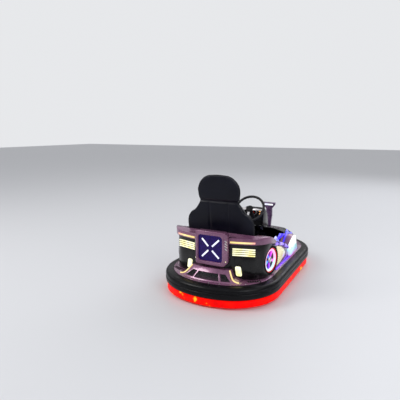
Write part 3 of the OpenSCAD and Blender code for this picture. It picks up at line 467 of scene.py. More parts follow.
# %% Finishes of the solid parts
finished = (
    (ring_rubber, "bumper_ring"),
    (skirt_light, "light_skirt"),
    (chassis_paint, "chassis_plate chassis_tubes rear_axle_mounts drive_fork steering_column"),
    (battery_case, "battery_pack"),
    (tyre_rubber, "rear_wheel_left rear_wheel_right drive_wheel side_wheels"),
    (moulded_black, "drive_housing dash_panel steering_wheel seat_base"),
    (plum_lacquer, "body_ledge rear_valance rear_deck cross_lamp_frame side_walls front_fenders"),
    (black_lacquer, "rear_fascia cabin_tub nose_shell dash_cowl"),
    (graphite_lacquer, "nose_mast"),
    (dot_screen, "cross_lamp_panel"),
    (white_lamp, "cross_lamp_bars nose_lamp mast_light_bar"),
    (warm_lamp, "tail_lamps rear_marker_lamps head_lamps"),
    (lip_light, "deck_light_strips"),
    (hatch_lamp, "side_lamps"),
    (violet_lamp, "arch_lights"),
    (dome_light, "corner_lamps"),
    (blade_light, "fender_blades"),
    (amber_lamp, "beacon"),
    (pedal_aluminium, "pedals"),
    (seat_vinyl, "seat_shell seat_cushion seat_back_pad"),
    (bright_zinc, "charge_socket"),
)
finish_of = {part: finish for finish, parts in finished for part in parts.split()}
for part, finish in finish_of.items():
    solid[part].data.materials.clear()
    solid[part].data.materials.append(finish)
print("finished parts:", len(finish_of), "of", len(solid))

# %% [markdown]
# Operators work on what is selected, as by hand. These helpers select one piece, end its making in
# a standard way, and mirror it to the other side of the car. A finished piece sits at the origin
# with its place in its mesh, just as the solid parts do.

# %% Helpers for pieces
def spun(degrees, axis="Z"):
    return Matrix.Rotation(math.radians(degrees), 4, axis)


def stand(x, y, z, degrees=0.0, axis="Z"):
    """A place on the car, turned about one axis."""
    return Matrix.Translation((x, y, z)) @ spun(degrees, axis)


def all_round(count, first=0.0):
    """Equal turns about Z. The first one comes after that share of a step."""
    return [spun(360 * (i + first) / count) for i in range(count)]


def choose(piece):
    if bpy.context.object is not None and bpy.context.object.mode != "OBJECT":
        bpy.ops.object.mode_set(mode="OBJECT")
    bpy.ops.object.select_all(action="DESELECT")
    piece.select_set(True)
    bpy.context.view_layer.objects.active = piece


def apply_all(piece):
    choose(piece)
    for modifier in list(piece.modifiers):
        bpy.ops.object.modifier_apply(modifier=modifier.name)


def bevelled(piece, width, rounds=2, angle=30.0):
    bevel = piece.modifiers.new("edges", "BEVEL")
    bevel.width = width
    bevel.segments = rounds
    bevel.limit_method = "ANGLE"
    bevel.angle_limit = math.radians(angle)
    apply_all(piece)
    return piece


def moved(piece, matrix):
    piece.data.transform(piece.matrix_basis)
    piece.matrix_basis = Matrix.Identity(4)
    piece.data.transform(matrix)
    return piece


def mirrored(piece):
    """Adds the other side of the car to the same piece."""
    mirror = piece.modifiers.new("other_side", "MIRROR")
    mirror.use_axis = (False, True, False)
    mirror.use_mirror_merge = False
    apply_all(piece)
    return piece


def joined(pieces):
    choose(pieces[0])
    for piece in pieces[1:]:
        piece.select_set(True)
    if len(pieces) > 1:
        bpy.ops.object.join()
    return pieces[0]


def scattered(seed, places):
    """The same small part at many places, as one piece. The seed itself is removed."""
    many = joined([moved(in_scene("copy", seed.data.copy()), place) for place in places])
    bpy.data.objects.remove(seed)
    return many


def edit_all(piece):
    choose(piece)
    bpy.ops.object.mode_set(mode="EDIT")
    bpy.ops.mesh.select_all(action="SELECT")


def merged(piece):
    """Joins points that lie together, and turns all faces outward."""
    edit_all(piece)
    bpy.ops.mesh.remove_doubles(threshold=0.00001)
    bpy.ops.mesh.normals_make_consistent(inside=False)
    bpy.ops.object.mode_set(mode="OBJECT")
    return piece


def skin(piece):
    """The piece's faces in a tree, which finds where a ray lands or what lies nearest."""
    faces = [face.vertices for face in piece.data.polygons]
    return BVHTree.FromPolygons([corner.co for corner in piece.data.vertices], faces)


def done(piece, name, finish, body="car", smooth=35.0):
    piece.name = name
    piece.data.name = name
    piece.data.materials.clear()
    piece.data.materials.append(finish)
    choose(piece)
    bpy.ops.object.shade_smooth_by_angle(angle=math.radians(smooth))
    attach(piece, body)
    print(name, "faces:", len(piece.data.polygons))


def block(low, high):
    bpy.ops.mesh.primitive_cube_add(size=1)
    piece = bpy.context.object
    middle = (Vector(low) + Vector(high)) / 2
    side = Vector(high) - Vector(low)
    return moved(piece, Matrix.Translation(middle) @ Matrix.Diagonal((*side, 1)))


def turned(profile, steps=96, closed=False):
    """Spins (radius, height) points about Z, as on a lathe."""
    edges = [(i, i + 1) for i in range(len(profile) - 1)]
    if closed:
        edges.append((len(profile) - 1, 0))
    mesh = bpy.data.meshes.new("turned")
    mesh.from_pydata([(radius, 0, height) for radius, height in profile], edges, [])
    piece = in_scene("turned", mesh)
    edit_all(piece)
    bpy.ops.mesh.spin(steps=steps, angle=math.tau, center=(0, 0, 0), axis=(0, 0, 1))
    return merged(piece)


def torus(major, minor, steps, rounds, height=0.0):
    bpy.ops.mesh.primitive_torus_add(major_radius=major, minor_radius=minor,
                                     major_segments=steps, minor_segments=rounds)
    return moved(bpy.context.object, stand(0, 0, height))


def tube(points, radius, rounds=4, smooth=6):
    """A round tube along a smooth line through the points."""
    data = bpy.data.curves.new("tube", "CURVE")
    data.dimensions = "3D"
    data.bevel_depth = radius
    data.bevel_resolution = rounds
    data.resolution_u = smooth
    data.use_fill_caps = True
    line = data.splines.new("BEZIER")
    line.bezier_points.add(len(points) - 1)
    for knot, point in zip(line.bezier_points, points):
        knot.co = point
        knot.handle_left_type = knot.handle_right_type = "AUTO"
    choose(in_scene("tube", data))
    bpy.ops.object.convert(target="MESH")
    return merged(bpy.context.object)


def copy_of(part):
    """A merged copy of a solid part, as a start for a finer piece."""
    twin = in_scene("copy", solid[part].data.copy())
    edit_all(twin)
    bpy.ops.mesh.remove_doubles(threshold=0.00002)
    bpy.ops.mesh.dissolve_limited(angle_limit=math.radians(0.4))
    bpy.ops.object.mode_set(mode="OBJECT")
    return twin


# %% [markdown]
# Moulded panels never have knife edges. A merged copy of each visible panel gets its edges rounded
# by a few millimetres, which is what catches a thin line of light along every real panel. The
# bevel works by angle, so it leaves the faceted curves alone.

# %% Panels with rounded edges
edge_widths = {
    "cross_lamp_frame": 0.005, "rear_valance": 0.0025, "rear_deck": 0.0028, "rear_fascia": 0.0015,
    "side_walls": 0.003, "front_fenders": 0.0028, "nose_shell": 0.0028, "nose_mast": 0.0010,
    "dash_cowl": 0.006, "side_lamps": 0.0025, "deck_light_strips": 0.003,
    "cross_lamp_bars": 0.0022, "corner_lamps": 0.009, "fender_blades": 0.0035,
    "seat_base": 0.006, "nose_lamp": 0.004, "mast_light_bar": 0.002, "pedals": 0.0015,
    "drive_fork": 0.0015, "body_ledge": 0.0015,
}
for part, width in edge_widths.items():
    panel = bevelled(copy_of(part), width)
    done(panel, part + "_moulded", finish_of[part], solid[part]["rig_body"], 40.0)
    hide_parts(part)

# %% [markdown]
# The tail and head lamps are black boxes with four frosted light strips each. The strip is drawn
# once with rounded edges and copied up the box. The box has a raised rim, made by insetting its
# front face and pushing the middle back.

# %% Strip lamps
def strips_of_light(width, height, count=4):
    pitch = height / count
    half_width = width / 2 - 0.007
    half_height = 0.30 * pitch
    strip = block((0.0005, -half_width, -half_height), (0.0108, half_width, half_height))
    heights = [(i + 0.5) * pitch - height / 2 for i in range(count)]
    return scattered(bevelled(strip, 0.0035, 3), [stand(0, 0, z) for z in heights])


def lamp_box(width, height):
    half_width = width / 2 - 0.0004
    half_height = height / 2 - 0.0004
    box = block((-0.026, -half_width, -half_height), (0.006, half_width, half_height))
    for face in box.data.polygons:
        face.select = face.normal.x > 0.9
    choose(box)
    bpy.ops.object.mode_set(mode="EDIT")
    bpy.ops.mesh.inset(thickness=0.0032)
    bpy.ops.transform.translate(value=(-0.007, 0, 0))
    bpy.ops.object.mode_set(mode="OBJECT")
    return bevelled(box, 0.001, 1)


for name, part, width, height, where in (
    ("tail", "tail_lamps", 0.214, 0.074, stand(-0.700, 0.282, 0.448, 164)),
    ("head", "head_lamps", 0.210, 0.062, stand(0.7202, 0.2629, 0.266, 34)),
):
    box = mirrored(moved(lamp_box(width, height), where))
    done(box, name + "_lamp_boxes", black_lacquer)
    light = mirrored(moved(strips_of_light(width, height), where))
    done(light, name + "_lamp_strips", warm_lamp)
    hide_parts(part)

# %% [markdown]
# The side wheels are lamps dressed as wheels: a rubber tyre, a glowing rim with a thin red line
# outside it, five glowing spokes and a bright hub. Each is turned on a lathe about Z, then laid
# over to face sideways and turned nine degrees towards the tail.

# %% Side wheel lamps
side_wheel_stand = stand(-0.462, 0.430, 0.337, 9) @ spun(-90, "X")
side_tyre = turned([(0.108, -0.0078), (0.130, -0.0078), (0.1335, -0.002), (0.1338, 0.020),
                    (0.1318, 0.0275), (0.1270, 0.0310), (0.1180, 0.0315), (0.1120, 0.0290),
                    (0.1098, 0.0240)], 120, closed=True)
lug = bevelled(block((0.1215, -0.0028, 0.0285), (0.1325, 0.0028, 0.0322)), 0.0008, 1)
side_tyre = joined([side_tyre, scattered(lug, all_round(44))])
side_dish = turned([(0.0, -0.0078), (0.1075, -0.0078), (0.1075, 0.0060), (0.0840, 0.0045),
                    (0.0600, -0.0020), (0.0, -0.0030)])
side_rim = torus(0.0955, 0.0118, 120, 20, height=0.0135)
side_line = torus(0.1092, 0.0020, 120, 10, height=0.0255)
spoke = block((0.026, -0.007, -0.001), (0.0835, 0.007, 0.0130))
for corner in spoke.data.vertices:
    if corner.co.x > 0.05:
        corner.co.y *= 2.1
        corner.co.z -= 0.002
spokes = scattered(bevelled(spoke, 0.0028, 3), all_round(5, first=0.25))
side_hub = turned([(0.0, -0.003), (0.0275, -0.003), (0.0280, 0.0140), (0.0240, 0.0190),
                   (0.0180, 0.0200), (0.0150, 0.0165), (0.0, 0.0175)], 48)
for piece, name, finish, slot_name in (
    (side_tyre, "side_wheel_tyres", tyre_rubber, "wheel_tyre"),
    (side_dish, "side_wheel_dishes", black_lacquer, "gloss_black"),
    (side_rim, "side_wheel_rims", rim_light, "lamp_white"),
    (side_line, "side_wheel_red_lines", skirt_light, "skirt_red"),
    (spokes, "side_wheel_spokes", spoke_light, "lamp_violet"),
    (side_hub, "side_wheel_hubs", trim_chrome, "pedal_metal"),
):
    done(mirrored(moved(piece, side_wheel_stand)), name, finish)
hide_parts("side_wheels")

# %% [markdown]
# A glowing tube runs along the shoulder of each side, from the deck down to the fin lamp, and a
# thin one lies along the foot of the body on the flange. Both are curves with a round section.

# %% Light tubes
shoulder_path = [(-0.3955, 0.474), (-0.335, 0.460), (-0.262, 0.4425), (-0.1884, 0.4225),
                 (-0.115, 0.3965), (-0.0491, 0.3670), (-0.010, 0.3470), (0.0165, 0.3335)]
shoulder_y = 0.4734
arch_tube = tube([(x, shoulder_y, z) for x, z in shoulder_path], 0.0146, rounds=6)
done(mirrored(arch_tube), "arch_tubes", violet_lamp, smooth=60)
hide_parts("arch_lights")
bend_x, bend_y, bend_radius, foot_z = 0.372, 0.028, 0.4355, 0.2055
foot_path = [(x, bend_y + bend_radius, foot_z) for x in (-0.318, -0.10, 0.15, 0.30)]
for i in range(9):
    arc = math.radians(90 - 6 * i)
    foot_path.append((bend_x + bend_radius * math.cos(arc), bend_y + bend_radius * math.sin(arc),
                      foot_z))
foot_tube = tube(foot_path, 0.0036, rounds=3)
done(mirrored(foot_tube), "foot_tubes", foot_light, smooth=60)
clip = bevelled(block((-0.006, 0.4580, -0.017), (0.006, 0.4895, 0.017)), 0.002, 1)
clip_places = [stand(x, 0, z, slope, "Y")
               for x, z, slope in ((-0.335, 0.460, 13), (-0.152, 0.4115, 19), (-0.022, 0.3535, 27))]
done(mirrored(scattered(clip, clip_places)), "arch_tube_clips", black_lacquer)

# %% [markdown]
# The valance under the square lamp is an open grille with a metal mesh behind it. The mesh is a
# flat grid bent onto the same cone as the valance, then thinned to wires. Its slanted ends carry a
# pale yellow glowing line, bent along the same cone. The line is a painted highlight where the
# edges catch the light.

# %% Valance mesh and painted edge highlights
def on_cone(y, z, inside=0.0):
    """A place on the valance, whose cone narrows upward, or that far inside it."""
    foot_radius, foot_z, taper, axis_x = 0.690, 0.2016, 0.086 / 0.092, -0.200
    radius = foot_radius - taper * (z - foot_z) - inside
    return (axis_x - math.sqrt(radius * radius - y * y), y, z)


bpy.ops.mesh.primitive_grid_add(x_subdivisions=72, y_subdivisions=12, size=1)
mesh_sheet = bpy.context.object
for point in mesh_sheet.data.vertices:
    share_up = point.co.y + 0.5
    half_width = 0.214 - 0.060 * share_up
    point.co = on_cone(-point.co.x * 2 * half_width, 0.207 + 0.062 * share_up, inside=0.0085)
wires = mesh_sheet.modifiers.new("wires", "WIREFRAME")
wires.thickness = 0.0016
wires.use_boundary = True
apply_all(mesh_sheet)
done(mesh_sheet, "valance_mesh", chassis_paint)
# The glowing tube below is a painted highlight along each slanted end of the valance.
highlight_path = [(0.184, 0.2905), (0.196, 0.2740), (0.211, 0.2540), (0.228, 0.2340), (0.246, 0.2200),
             (0.268, 0.2120), (0.290, 0.2085)]
highlight_tube = tube([on_cone(y, z, 0.0005) for y, z in highlight_path], 0.0062, rounds=4)
done(mirrored(highlight_tube), "valance_painted_highlights", lip_light, smooth=60)

# %% [markdown]
# Four bright slanted vents and a small lamp sit on each sloping side of the square lamp's frame.
# The side face leans, so they are drawn flat first and then turned to lie on it.

# %% Frame vents and spots
side_slope = math.degrees(math.atan2(0.022, 0.036))
frame_side = stand(-0.788, 0.1485, 0.0, side_slope)
vent = bevelled(block((-0.016, -0.001, -0.0042), (0.016, 0.0030, 0.0042)), 0.0012)
vent_places = [frame_side @ stand(0, 0, 0.478 + 0.023 * i, 42, "Y") for i in range(4)]
done(mirrored(scattered(vent, vent_places)), "frame_vents", trim_chrome)
spot = turned([(0.0, 0.0030), (0.0032, 0.0022), (0.0048, 0.0), (0.0, -0.0005)], 20)
spot = moved(spot, frame_side @ stand(0, 0, 0.366, -90, "X"))
done(mirrored(spot), "frame_spots", warm_lamp)

# %% [markdown]
# The seat is upholstered over foam. Each cushion starts from its solid, is made an even net of
# small squares, drawn in a little, and blown up as cloth with air pressure inside, so that its
# faces crown and its sides pull in. No point may go further than a set distance. Seams come last:
# they are valleys pushed in along sewn lines, because an even net would erase them.

# %% Padding
def pushed_in(pad, depth):
    """Moves every point inward by what depth gives for its place, in metres."""
    moves = [point.normal * depth(point.co) for point in pad.data.vertices]
    for point, move in zip(pad.data.vertices, moves):
        point.co -= move


def blown(part, voxel, inset, pressure, cap):
    """Cloth blown up with air. No point goes further than the cap."""
    last_frame = 20
    pad = copy_of(part)
    even = pad.modifiers.new("even", "REMESH")
    even.mode = "VOXEL"
    even.voxel_size = voxel
    apply_all(pad)
    pushed_in(pad, lambda place: inset)
    start = [v.co.copy() for v in pad.data.vertices]
    cloth = pad.modifiers.new("air", "CLOTH")
    cover = cloth.settings
    cover.use_pressure = True
    cover.uniform_pressure_force = pressure
    cover.tension_stiffness = 30
    cover.compression_stiffness = 30
    cover.shear_stiffness = 12
    cover.effector_weights.gravity = 0
    cloth.point_cache.frame_start = 1
    cloth.point_cache.frame_end = last_frame
    for step in range(1, last_frame + 1):
        bpy.context.scene.frame_set(step)
    apply_all(pad)
    for point, origin in zip(pad.data.vertices, start):
        move = point.co - origin
        if move.length > cap:
            point.co = origin + move * (cap / move.length)
    bpy.context.scene.frame_set(1)
    return pad


def sewn(pad, valley):
    """Presses the seams in and rounds the small squares off."""
    pushed_in(pad, valley)
    finer =pad.modifiers.new("finer", "SUBSURF")
    finer.levels = finer.render_levels = 1
    apply_all(pad)
    return pad


def groove(distance, depth, width):
    return depth * math.exp(-(distance / width) ** 2)


back_foot = stand(-0.466, 0.0, 0.26406, -7, "Y")
from_back_foot = back_foot.inverted()


def up_the_back(place):
    """How far a place is up the leaning seat back."""
    return (from_back_foot @ place).z


def back_valley(place):
    up = up_the_back(place)
    push = groove(up - 0.619, 0.013, 0.012)
    if up < 0.60:
        push += groove(abs(place.y) - 0.092, 0.0065, 0.008)
        push += groove(up - 0.20, 0.005, 0.008)
    return push


def front_valley(place):
    up, seam_y = up_the_back(place), 0.115
    push = groove(up - 0.600, 0.012, 0.012)
    if up < 0.585:
        push += groove(abs(place.y) - seam_y, 0.009, 0.009)
        if abs(place.y) < seam_y:
            push += sum(groove(up - mark, 0.006, 0.008) for mark in (0.19, 0.29, 0.39, 0.49))
    return push


def cushion_valley(place):
    seam_y, top_face_z = 0.130, 0.30
    push = groove(abs(place.y) - seam_y, 0.009, 0.009)
    if abs(place.y) < seam_y and place.z > top_face_z:
        push += sum(groove(place.x - mark, 0.006, 0.008) for mark in (-0.36, -0.27, -0.18))
    return push


seat_pads = (("seat_shell", "seat_back_cover", 0.0085, 0.001, 3.0, 0.007, back_valley, 0.4),
             ("seat_back_pad", "seat_back_cushion", 0.0085, 0.004, 4.0, 0.015, front_valley, 0.6),
             ("seat_cushion", "seat_bottom_cushion", 0.0070, 0.005, 4.0, 0.011, cushion_valley, 0.7))
for part, name, voxel, inset, pressure, cap, valley, fill in seat_pads:
    pad = sewn(blown(part, voxel, inset, pressure, cap), valley)
    done(pad, name, seat_vinyl, smooth=80)
    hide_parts(part)

# %% [markdown]
# Piping is a cord sewn into a seam. It follows the outline of the seat back, and each of its points
# is drawn onto the nearest place of the padded cover, so that the cord lies on the cloth.

# %% Piping
side_outline = [(0.300, 0.012), (0.329, 0.050), (0.3335, 0.160), (0.3335, 0.300), (0.3335, 0.398),
                (0.3220, 0.448), (0.2960, 0.486), (0.2560, 0.520), (0.2180, 0.562), (0.1990, 0.604),
                (0.2010, 0.650), (0.2055, 0.707), (0.1950, 0.765), (0.1620, 0.812), (0.1130, 0.8430),
                (0.0560, 0.8545)]
seam_x = -0.066
cover_skin = skin(bpy.data.objects["seat_back_cover"])
outline = side_outline + [(-y, up) for y, up in reversed(side_outline)]
piping_path = []
for y, up in outline:
    place, normal, _, _ = cover_skin.find_nearest(back_foot @ Vector((seam_x, y, up)))
    piping_path.append(place + normal * 0.0012)
piping = tube(piping_path, 0.0046, rounds=3, smooth=5)
done(piping, "seat_piping", piping_vinyl, smooth=60)

# %% [markdown]
# The two lamps low on the tail are rounded and lean outward at the foot. Each sits in a black
# bezel that fills its opening. Only the edges that run front to back get the large radius, which
# the bevel finds by the edge's direction.

# %% Marker lamps
def pill(low, high, radius):
    """A block that faces +X, with its four long edges well rounded and its rims softened."""
    piece = block(low, high)
    weights = piece.data.attributes.new("bevel_weight_edge", "FLOAT", "EDGE")
    for edge in piece.data.edges:
        a, b = (piece.data.vertices[i].co for i in edge.vertices)
        weights.data[edge.index].value = 1.0 if abs(a.x - b.x) > 0.001 else 0.0
    corners = piece.modifiers.new("corners", "BEVEL")
    corners.width = radius
    corners.segments = 6
    corners.limit_method = "WEIGHT"
    apply_all(piece)
    return bevelled(piece, 0.0018, 2, 50.0)


marker_stand = stand(-0.715, 0.242, 0.276, 165)
marker_bezel = pill((-0.013, -0.0268, -0.0438), (0.0055, 0.0268, 0.0438), 0.006)
marker_light = pill((0.003, -0.0258, -0.0436), (0.0112, 0.0258, 0.0436), 0.014)
for point in marker_light.data.vertices:
    point.co.y += 0.15 * point.co.z
done(mirrored(moved(marker_bezel, marker_stand)), "marker_bezels", black_lacquer)
done(mirrored(moved(marker_light, marker_stand)), "marker_lights", warm_lamp)
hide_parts("rear_marker_lamps")

# %% [markdown]
# Bolts need a seat. A ray is sent down at the solid part, and where it lands gives a place whose Z
# stands up from the surface and whose X runs ahead.

# %% Seats for small parts
def seated(surface_tree, x, y):
    place, normal, _, _ = surface_tree.ray_cast(Vector((x, y, 0.7)), Vector((0, 0, -1)))
    side = normal.cross(Vector((1, 0, 0))).normalized()
    front = side.cross(normal)
    return Matrix.Translation(place) @ Matrix((front, side, normal)).transposed().to_4x4()


def cap_screw(radius, height):
    """A screw with a washer, a round head and a six-sided socket."""
    body = turned([(0.0, 0.0), (radius * 1.45, 0.0), (radius * 1.45, height * 0.20),
                   (radius, height * 0.24), (radius, height * 0.88), (radius * 0.86, height),
                   (0.0, height)], 24)
    bpy.ops.mesh.primitive_cylinder_add(vertices=6, radius=radius * 0.52, depth=height)
    cutter = moved(bpy.context.object, Matrix.Translation((0, 0, height)))
    cut = body.modifiers.new("socket", "BOOLEAN")
    cut.object = cutter
    apply_all(body)
    bpy.data.objects.remove(cutter)
    return body


# %% [markdown]
# The plum flange is screwed down to the ring all the way round. The ring's plan has a flat curve
# across each end and a tighter one round each corner, so the screws follow the same two arcs.

# %% Screws round the flange and under the car
def plan_quarter(inset):
    """Places round a quarter of the car from the nose's middle to the side's middle."""
    turn = math.atan2(0.28, 0.96)
    end_x, end_radius = 0.255, 0.745 - inset
    corner_x, corner_y, corner_radius = 0.495, 0.070, 0.495 - inset
    arcs = [turn * share for share in (0.25, 0.75)]
    quarter = [(end_x + end_radius * math.cos(arc), end_radius * math.sin(arc)) for arc in arcs]
    arcs = [turn + (math.pi / 2 - turn) * (i + 0.4) / 4 for i in range(4)]
    quarter += [(corner_x + corner_radius * math.cos(arc), corner_y + corner_radius * math.sin(arc))
                for arc in arcs]
    return quarter + [(x, corner_y + corner_radius) for x in (0.42, 0.26, 0.10)]


def screws(radius, height, places):
    return scattered(cap_screw(radius, height), places)


flange = skin(solid["body_ledge"])
flange_places = [seated(flange, fore * x, y) for x, y in plan_quarter(0.0865) for fore in (1, -1)]
plate_places = [stand(x, 0.34, 0.0918, 180, "X") for x in (-0.42, -0.18, 0.06, 0.28)]
housing_places = [stand(0.61, 0, 0.1034) @ turn @ stand(0.147, 0, 0)
                  for turn in all_round(8, first=0.5)]
for piece, name in (
    (mirrored(screws(0.0042, 0.0042, flange_places)), "flange_screws"),
    (mirrored(screws(0.007, 0.008, plate_places)), "plate_screws"),
    (screws(0.006, 0.007, housing_places), "housing_screws"),
):
    done(piece, name, bright_zinc, smooth=30)

# %% [markdown]
# The three road wheels are solid rubber tyres on pressed hubs. They are turned about Z and laid on
# their side. Each rides on its own body, so it spins in the simulator.

# %% Road wheels
def two_faced(low_half, steps):
    """A turned ring whose upper half mirrors its lower half."""
    high_half = [(radius, -height) for radius, height in reversed(low_half)]
    return turned(low_half + high_half, steps, closed=True)


def road_wheel():
    tyre = two_faced([(0.0712, -0.0215), (0.0920, -0.0228), (0.0972, -0.0205), (0.0996, -0.0150),
                      (0.0998, -0.0085), (0.0968, -0.0075), (0.0968, -0.0055),
                      (0.0999, -0.0045)], 96)
    hub = two_faced([(0.01006, -0.0228), (0.0275, -0.0228), (0.0290, -0.0100), (0.0590, -0.0078),
                     (0.0655, -0.0165), (0.0716, -0.0205)], 72)
    places = [face @ turn @ stand(0.045, 0, 0.0082)
              for turn in all_round(5) for face in (spun(0), spun(180, "X"))]
    return tyre, hub, screws(0.0045, 0.005, places)


for body in ("drive_wheel", "rear_wheel_left", "rear_wheel_right"):
    upright = stand(*joint_of[body]["pos_m"], -90, "X")
    tyre, hub, bolts = (moved(piece, upright) for piece in road_wheel())
    done(tyre, body + "_tyre", tyre_rubber, body)
    done(hub, body + "_hub", chassis_paint, body)
    done(bolts, body + "_screws", bright_zinc, body, 30)
    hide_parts(body)

# %% [markdown]
# The steering wheel has a padded rim with finger bumps on its far side and a row of stitches along
# its inner side. It is made flat about Z and then tilted to face the rider.

# %% Steering wheel
steering_joint = joint_of["steering_wheel"]
wheel_side = Vector((0, 1, 0))
wheel_face = Vector(steering_joint["axis"])
wheel_tilt = Matrix((wheel_side.cross(wheel_face), wheel_side, wheel_face)).transposed()
steering_stand = stand(*steering_joint["pos_m"]) @ wheel_tilt.to_4x4()
grip = torus(0.155, 0.0136, 160, 20)
for point in grip.data.vertices:
    around = math.atan2(point.co.y, point.co.x)
    if point.co.z < -0.004:
        point.co.z += 0.0016 * math.cos(around * 26)
stitch = bevelled(block((0.1410, -0.0005, -0.0026), (0.1424, 0.0005, 0.0026)), 0.0003, 1)
stitches = scattered(stitch, all_round(100))
arm = block((0.030, -0.0135, -0.0085), (0.144, 0.0135, -0.0005))
for corner in arm.data.vertices:
    if corner.co.x > 0.1:
        corner.co.y *= 0.72
arms = scattered(bevelled(arm, 0.0028, 3), [spun(degrees) for degrees in (90, 180, 270)])
hub_cap = turned([(0.0, -0.0020), (0.00812, -0.0020), (0.00812, -0.034), (0.0385, -0.034),
                  (0.0398, -0.030), (0.0398, 0.0010), (0.0370, 0.0052), (0.0330, 0.0058),
                  (0.0318, 0.0036), (0.0300, 0.0036), (0.0285, 0.0060), (0.0150, 0.0086),
                  (0.0, 0.0090)], 64)
for piece, name, finish, slot_name in (
    (grip, "steering_grip", piping_vinyl, "black_vinyl"),
    (stitches, "steering_stitches", thread_grey, "black_vinyl"),
    (arms, "steering_arms", trim_chrome, "pedal_metal"),
    (hub_cap, "steering_hub", moulded_black, "matte_black"),
):
    done(moved(piece, steering_stand), name, finish, "steering_wheel", 50)
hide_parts("steering_wheel")

# %% [markdown]
# The dashboard's panel faces the rider. It has a round charge dial, four push buttons and a bar
# of charge lights. The dial has ticks and a needle but no words.

# %% Dashboard
def on_panel(y, z, out=0.0):
    """A place on the dashboard's panel: Z comes out towards the rider and X points up."""
    return stand(0.3140 - out, y, z, -90, "Y")


dial_place = on_panel(0, 0.598)
dial_ring = turned([(0.0, 0.0), (0.0345, 0.0), (0.0350, 0.0050), (0.0335, 0.0072), (0.0312, 0.0072),
                    (0.0300, 0.0040), (0.0, 0.0035)], 64)
done(moved(dial_ring, dial_place), "dial_ring", trim_chrome)
dial_face = turned([(0.0, 0.0036), (0.0298, 0.0036), (0.0298, 0.0041), (0.0, 0.0043)], 48)
done(moved(dial_face, dial_place), "dial_face", black_lacquer)
tick = block((0.0210, -0.0005, 0.0042), (0.0272, 0.0005, 0.0050))
ticks = scattered(tick, [dial_place @ spun(degrees) for degrees in range(-120, 121, 24)])
done(ticks, "dial_ticks", white_lamp)
needle = bevelled(block((-0.005, -0.0008, 0.0050), (0.0225, 0.0008, 0.0060)), 0.0003, 1)
done(moved(needle, dial_place @ spun(52)), "dial_needle", skirt_light)
button_ring = turned([(0.0, 0.0), (0.0120, 0.0), (0.0120, 0.0030), (0.0104, 0.0042),
                      (0.0092, 0.0042), (0.0090, 0.0025), (0.0, 0.0025)], 40)
*button_places, horn_place = [on_panel(y, z) for y in (-0.068, 0.068) for z in (0.580, 0.612)]
rings = scattered(button_ring, [*button_places, horn_place])
done(rings, "button_rings", trim_chrome)
cap_profile = [(0.0, 0.0026), (0.0088, 0.0026), (0.0086, 0.0058), (0.0070, 0.0072), (0.0, 0.0078)]
button_caps = scattered(turned(cap_profile, 40), button_places)
done(button_caps, "button_caps", amber_lamp)
done(moved(turned(cap_profile, 40), horn_place), "button_horn", skirt_light)
cell_light = bevelled(block((-0.0035, -0.0050, 0.0), (0.0035, 0.0050, 0.0022)), 0.0008, 2)
cell_places = [on_panel(0.0125 * (i - 2), 0.6385, -0.0003) for i in range(5)]
done(scattered(cell_light, cell_places), "charge_lights", white_lamp)

# %% [markdown]
# The footwell has a ribbed rubber mat, and each pedal carries a ribbed rubber pad.

# %% Mat and pedal pads
mat = bevelled(block((-0.105, -0.330, 0.0974), (0.400, 0.330, 0.1000)), 0.0008, 1)
rib = bevelled(block((-0.0035, -0.318, 0.0996), (0.0035, 0.318, 0.1022)), 0.0010, 1)
ribs_of_mat = scattered(rib, [stand(-0.092 + 0.0188 * i, 0, 0) for i in range(26)])
done(joined([mat, ribs_of_mat]), "floor_mat", moulded_black)
pad = bevelled(block((-0.0088, -0.0325, -0.0520), (-0.0049, 0.0325, 0.0520)), 0.0012)
ridge = bevelled(block((-0.0118, -0.0290, -0.0024), (-0.0082, 0.0290, 0.0024)), 0.0010, 1)
ridges = scattered(ridge, [stand(0, 0, 0.0118 * (i - 3.5)) for i in range(8)])
pedal_pad = moved(joined([pad, ridges]), stand(0.422, 0.170, 0.197, -25, "Y"))
done(mirrored(pedal_pad), "pedal_pads", moulded_black)

# %% [markdown]
# The hood is one glossy moulding. Raised plum louvres on both sides let warm air out, each with a
# dark slot ahead of it. They are seated by rays on the curved hood.

# %% Hood louvres
hood = skin(solid["nose_shell"])
louvre = bevelled(block((-0.0085, -0.055, -0.0010), (0.0085, 0.055, 0.0060)), 0.0024, 3)
for corner in louvre.data.vertices:
    corner.co.z *= 1.0 - 28.0 * (0.0085 - corner.co.x)
louvre_places = [seated(hood, 0.425 + 0.034 * i, 0.205 - 0.006 * i) for i in range(6)]
done(mirrored(scattered(louvre, louvre_places)), "hood_louvres", plum_lacquer)
slot_cut = bevelled(block((-0.0045, -0.050, -0.0004), (0.0045, 0.050, 0.0010)), 0.0004, 1)
slot_places = [place @ stand(0.0150, 0, 0) for place in louvre_places]
done(mirrored(scattered(slot_cut, slot_places)), "hood_slots", moulded_black)

# %% [markdown]
# The mast carries a beacon with a ribbed amber dome. The ribs bend the light outward, as in a real
# beacon. Its base is black.

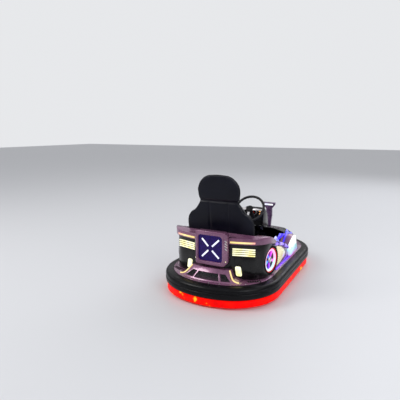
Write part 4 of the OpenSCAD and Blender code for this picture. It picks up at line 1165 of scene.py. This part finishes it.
# %% Beacon
mast_foot = stand(0.885, 0, 0.298, -6, "Y")
beacon_stand = mast_foot @ stand(0.0173, 0, 0.285, 90, "Y")
beacon_base = turned([(0.0, 0.0), (0.0298, 0.0), (0.0298, 0.0062), (0.0272, 0.0078), (0.0, 0.0078)],
                     64)
beacon_dome = turned([(0.0, 0.0079), (0.0256, 0.0079), (0.0260, 0.0100), (0.0240, 0.0114),
                      (0.0246, 0.0140), (0.0226, 0.0154), (0.0231, 0.0180), (0.0209, 0.0194),
                      (0.0212, 0.0218), (0.0182, 0.0236), (0.0145, 0.0258), (0.0080, 0.0274),
                      (0.0, 0.0279)], 64)
done(moved(beacon_base, beacon_stand), "beacon_base", moulded_black)
done(moved(beacon_dome, beacon_stand), "beacon_dome", amber_lamp, smooth=25)
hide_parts("beacon")

# %% [markdown]
# A dark vent with five fins lies on the flange beside each end of the valance.

# %% Flange vents
vent_stand = stand(-0.7060, 0.3860, 0.2014, 149)
vent_tray = bevelled(block((-0.0190, -0.0580, -0.0003), (0.0190, 0.0580, 0.0018)), 0.0008)
vent_fin = bevelled(block((-0.0175, -0.0020, 0.0012), (0.0175, 0.0020, 0.0042)), 0.0008)
vent_fins = scattered(vent_fin, [stand(0, 0.0220 * (i - 2), 0) for i in range(5)])
done(mirrored(moved(vent_tray, vent_stand)), "flange_vents", moulded_black)
done(mirrored(moved(vent_fins, vent_stand)), "flange_vent_fins", plum_lacquer)

# %% [markdown]
# The floor isn't part of the car, so it is marked as stage. It is pale and slightly rough, and it
# keeps the soft shadow and the red glow of the skirt, which tell the eye that the car stands on it.

# %% Floor
bpy.ops.mesh.primitive_plane_add(size=60, location=(0, 0, 0))
floor = bpy.context.object
floor.name = "floor"
floor_paint, floor_inputs = surface("floor_paint", rough=0.45)
floor_inputs["Base Color"].default_value = (0.62, 0.63, 0.65, 1)
floor.data.materials.append(floor_paint)
floor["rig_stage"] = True

# %% Sizes
new_low, new_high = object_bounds()
growth = (*(cad_low - new_low), *(new_high - cad_high))
print("grown by (mm):", [round(1000 * x, 1) for x in growth])
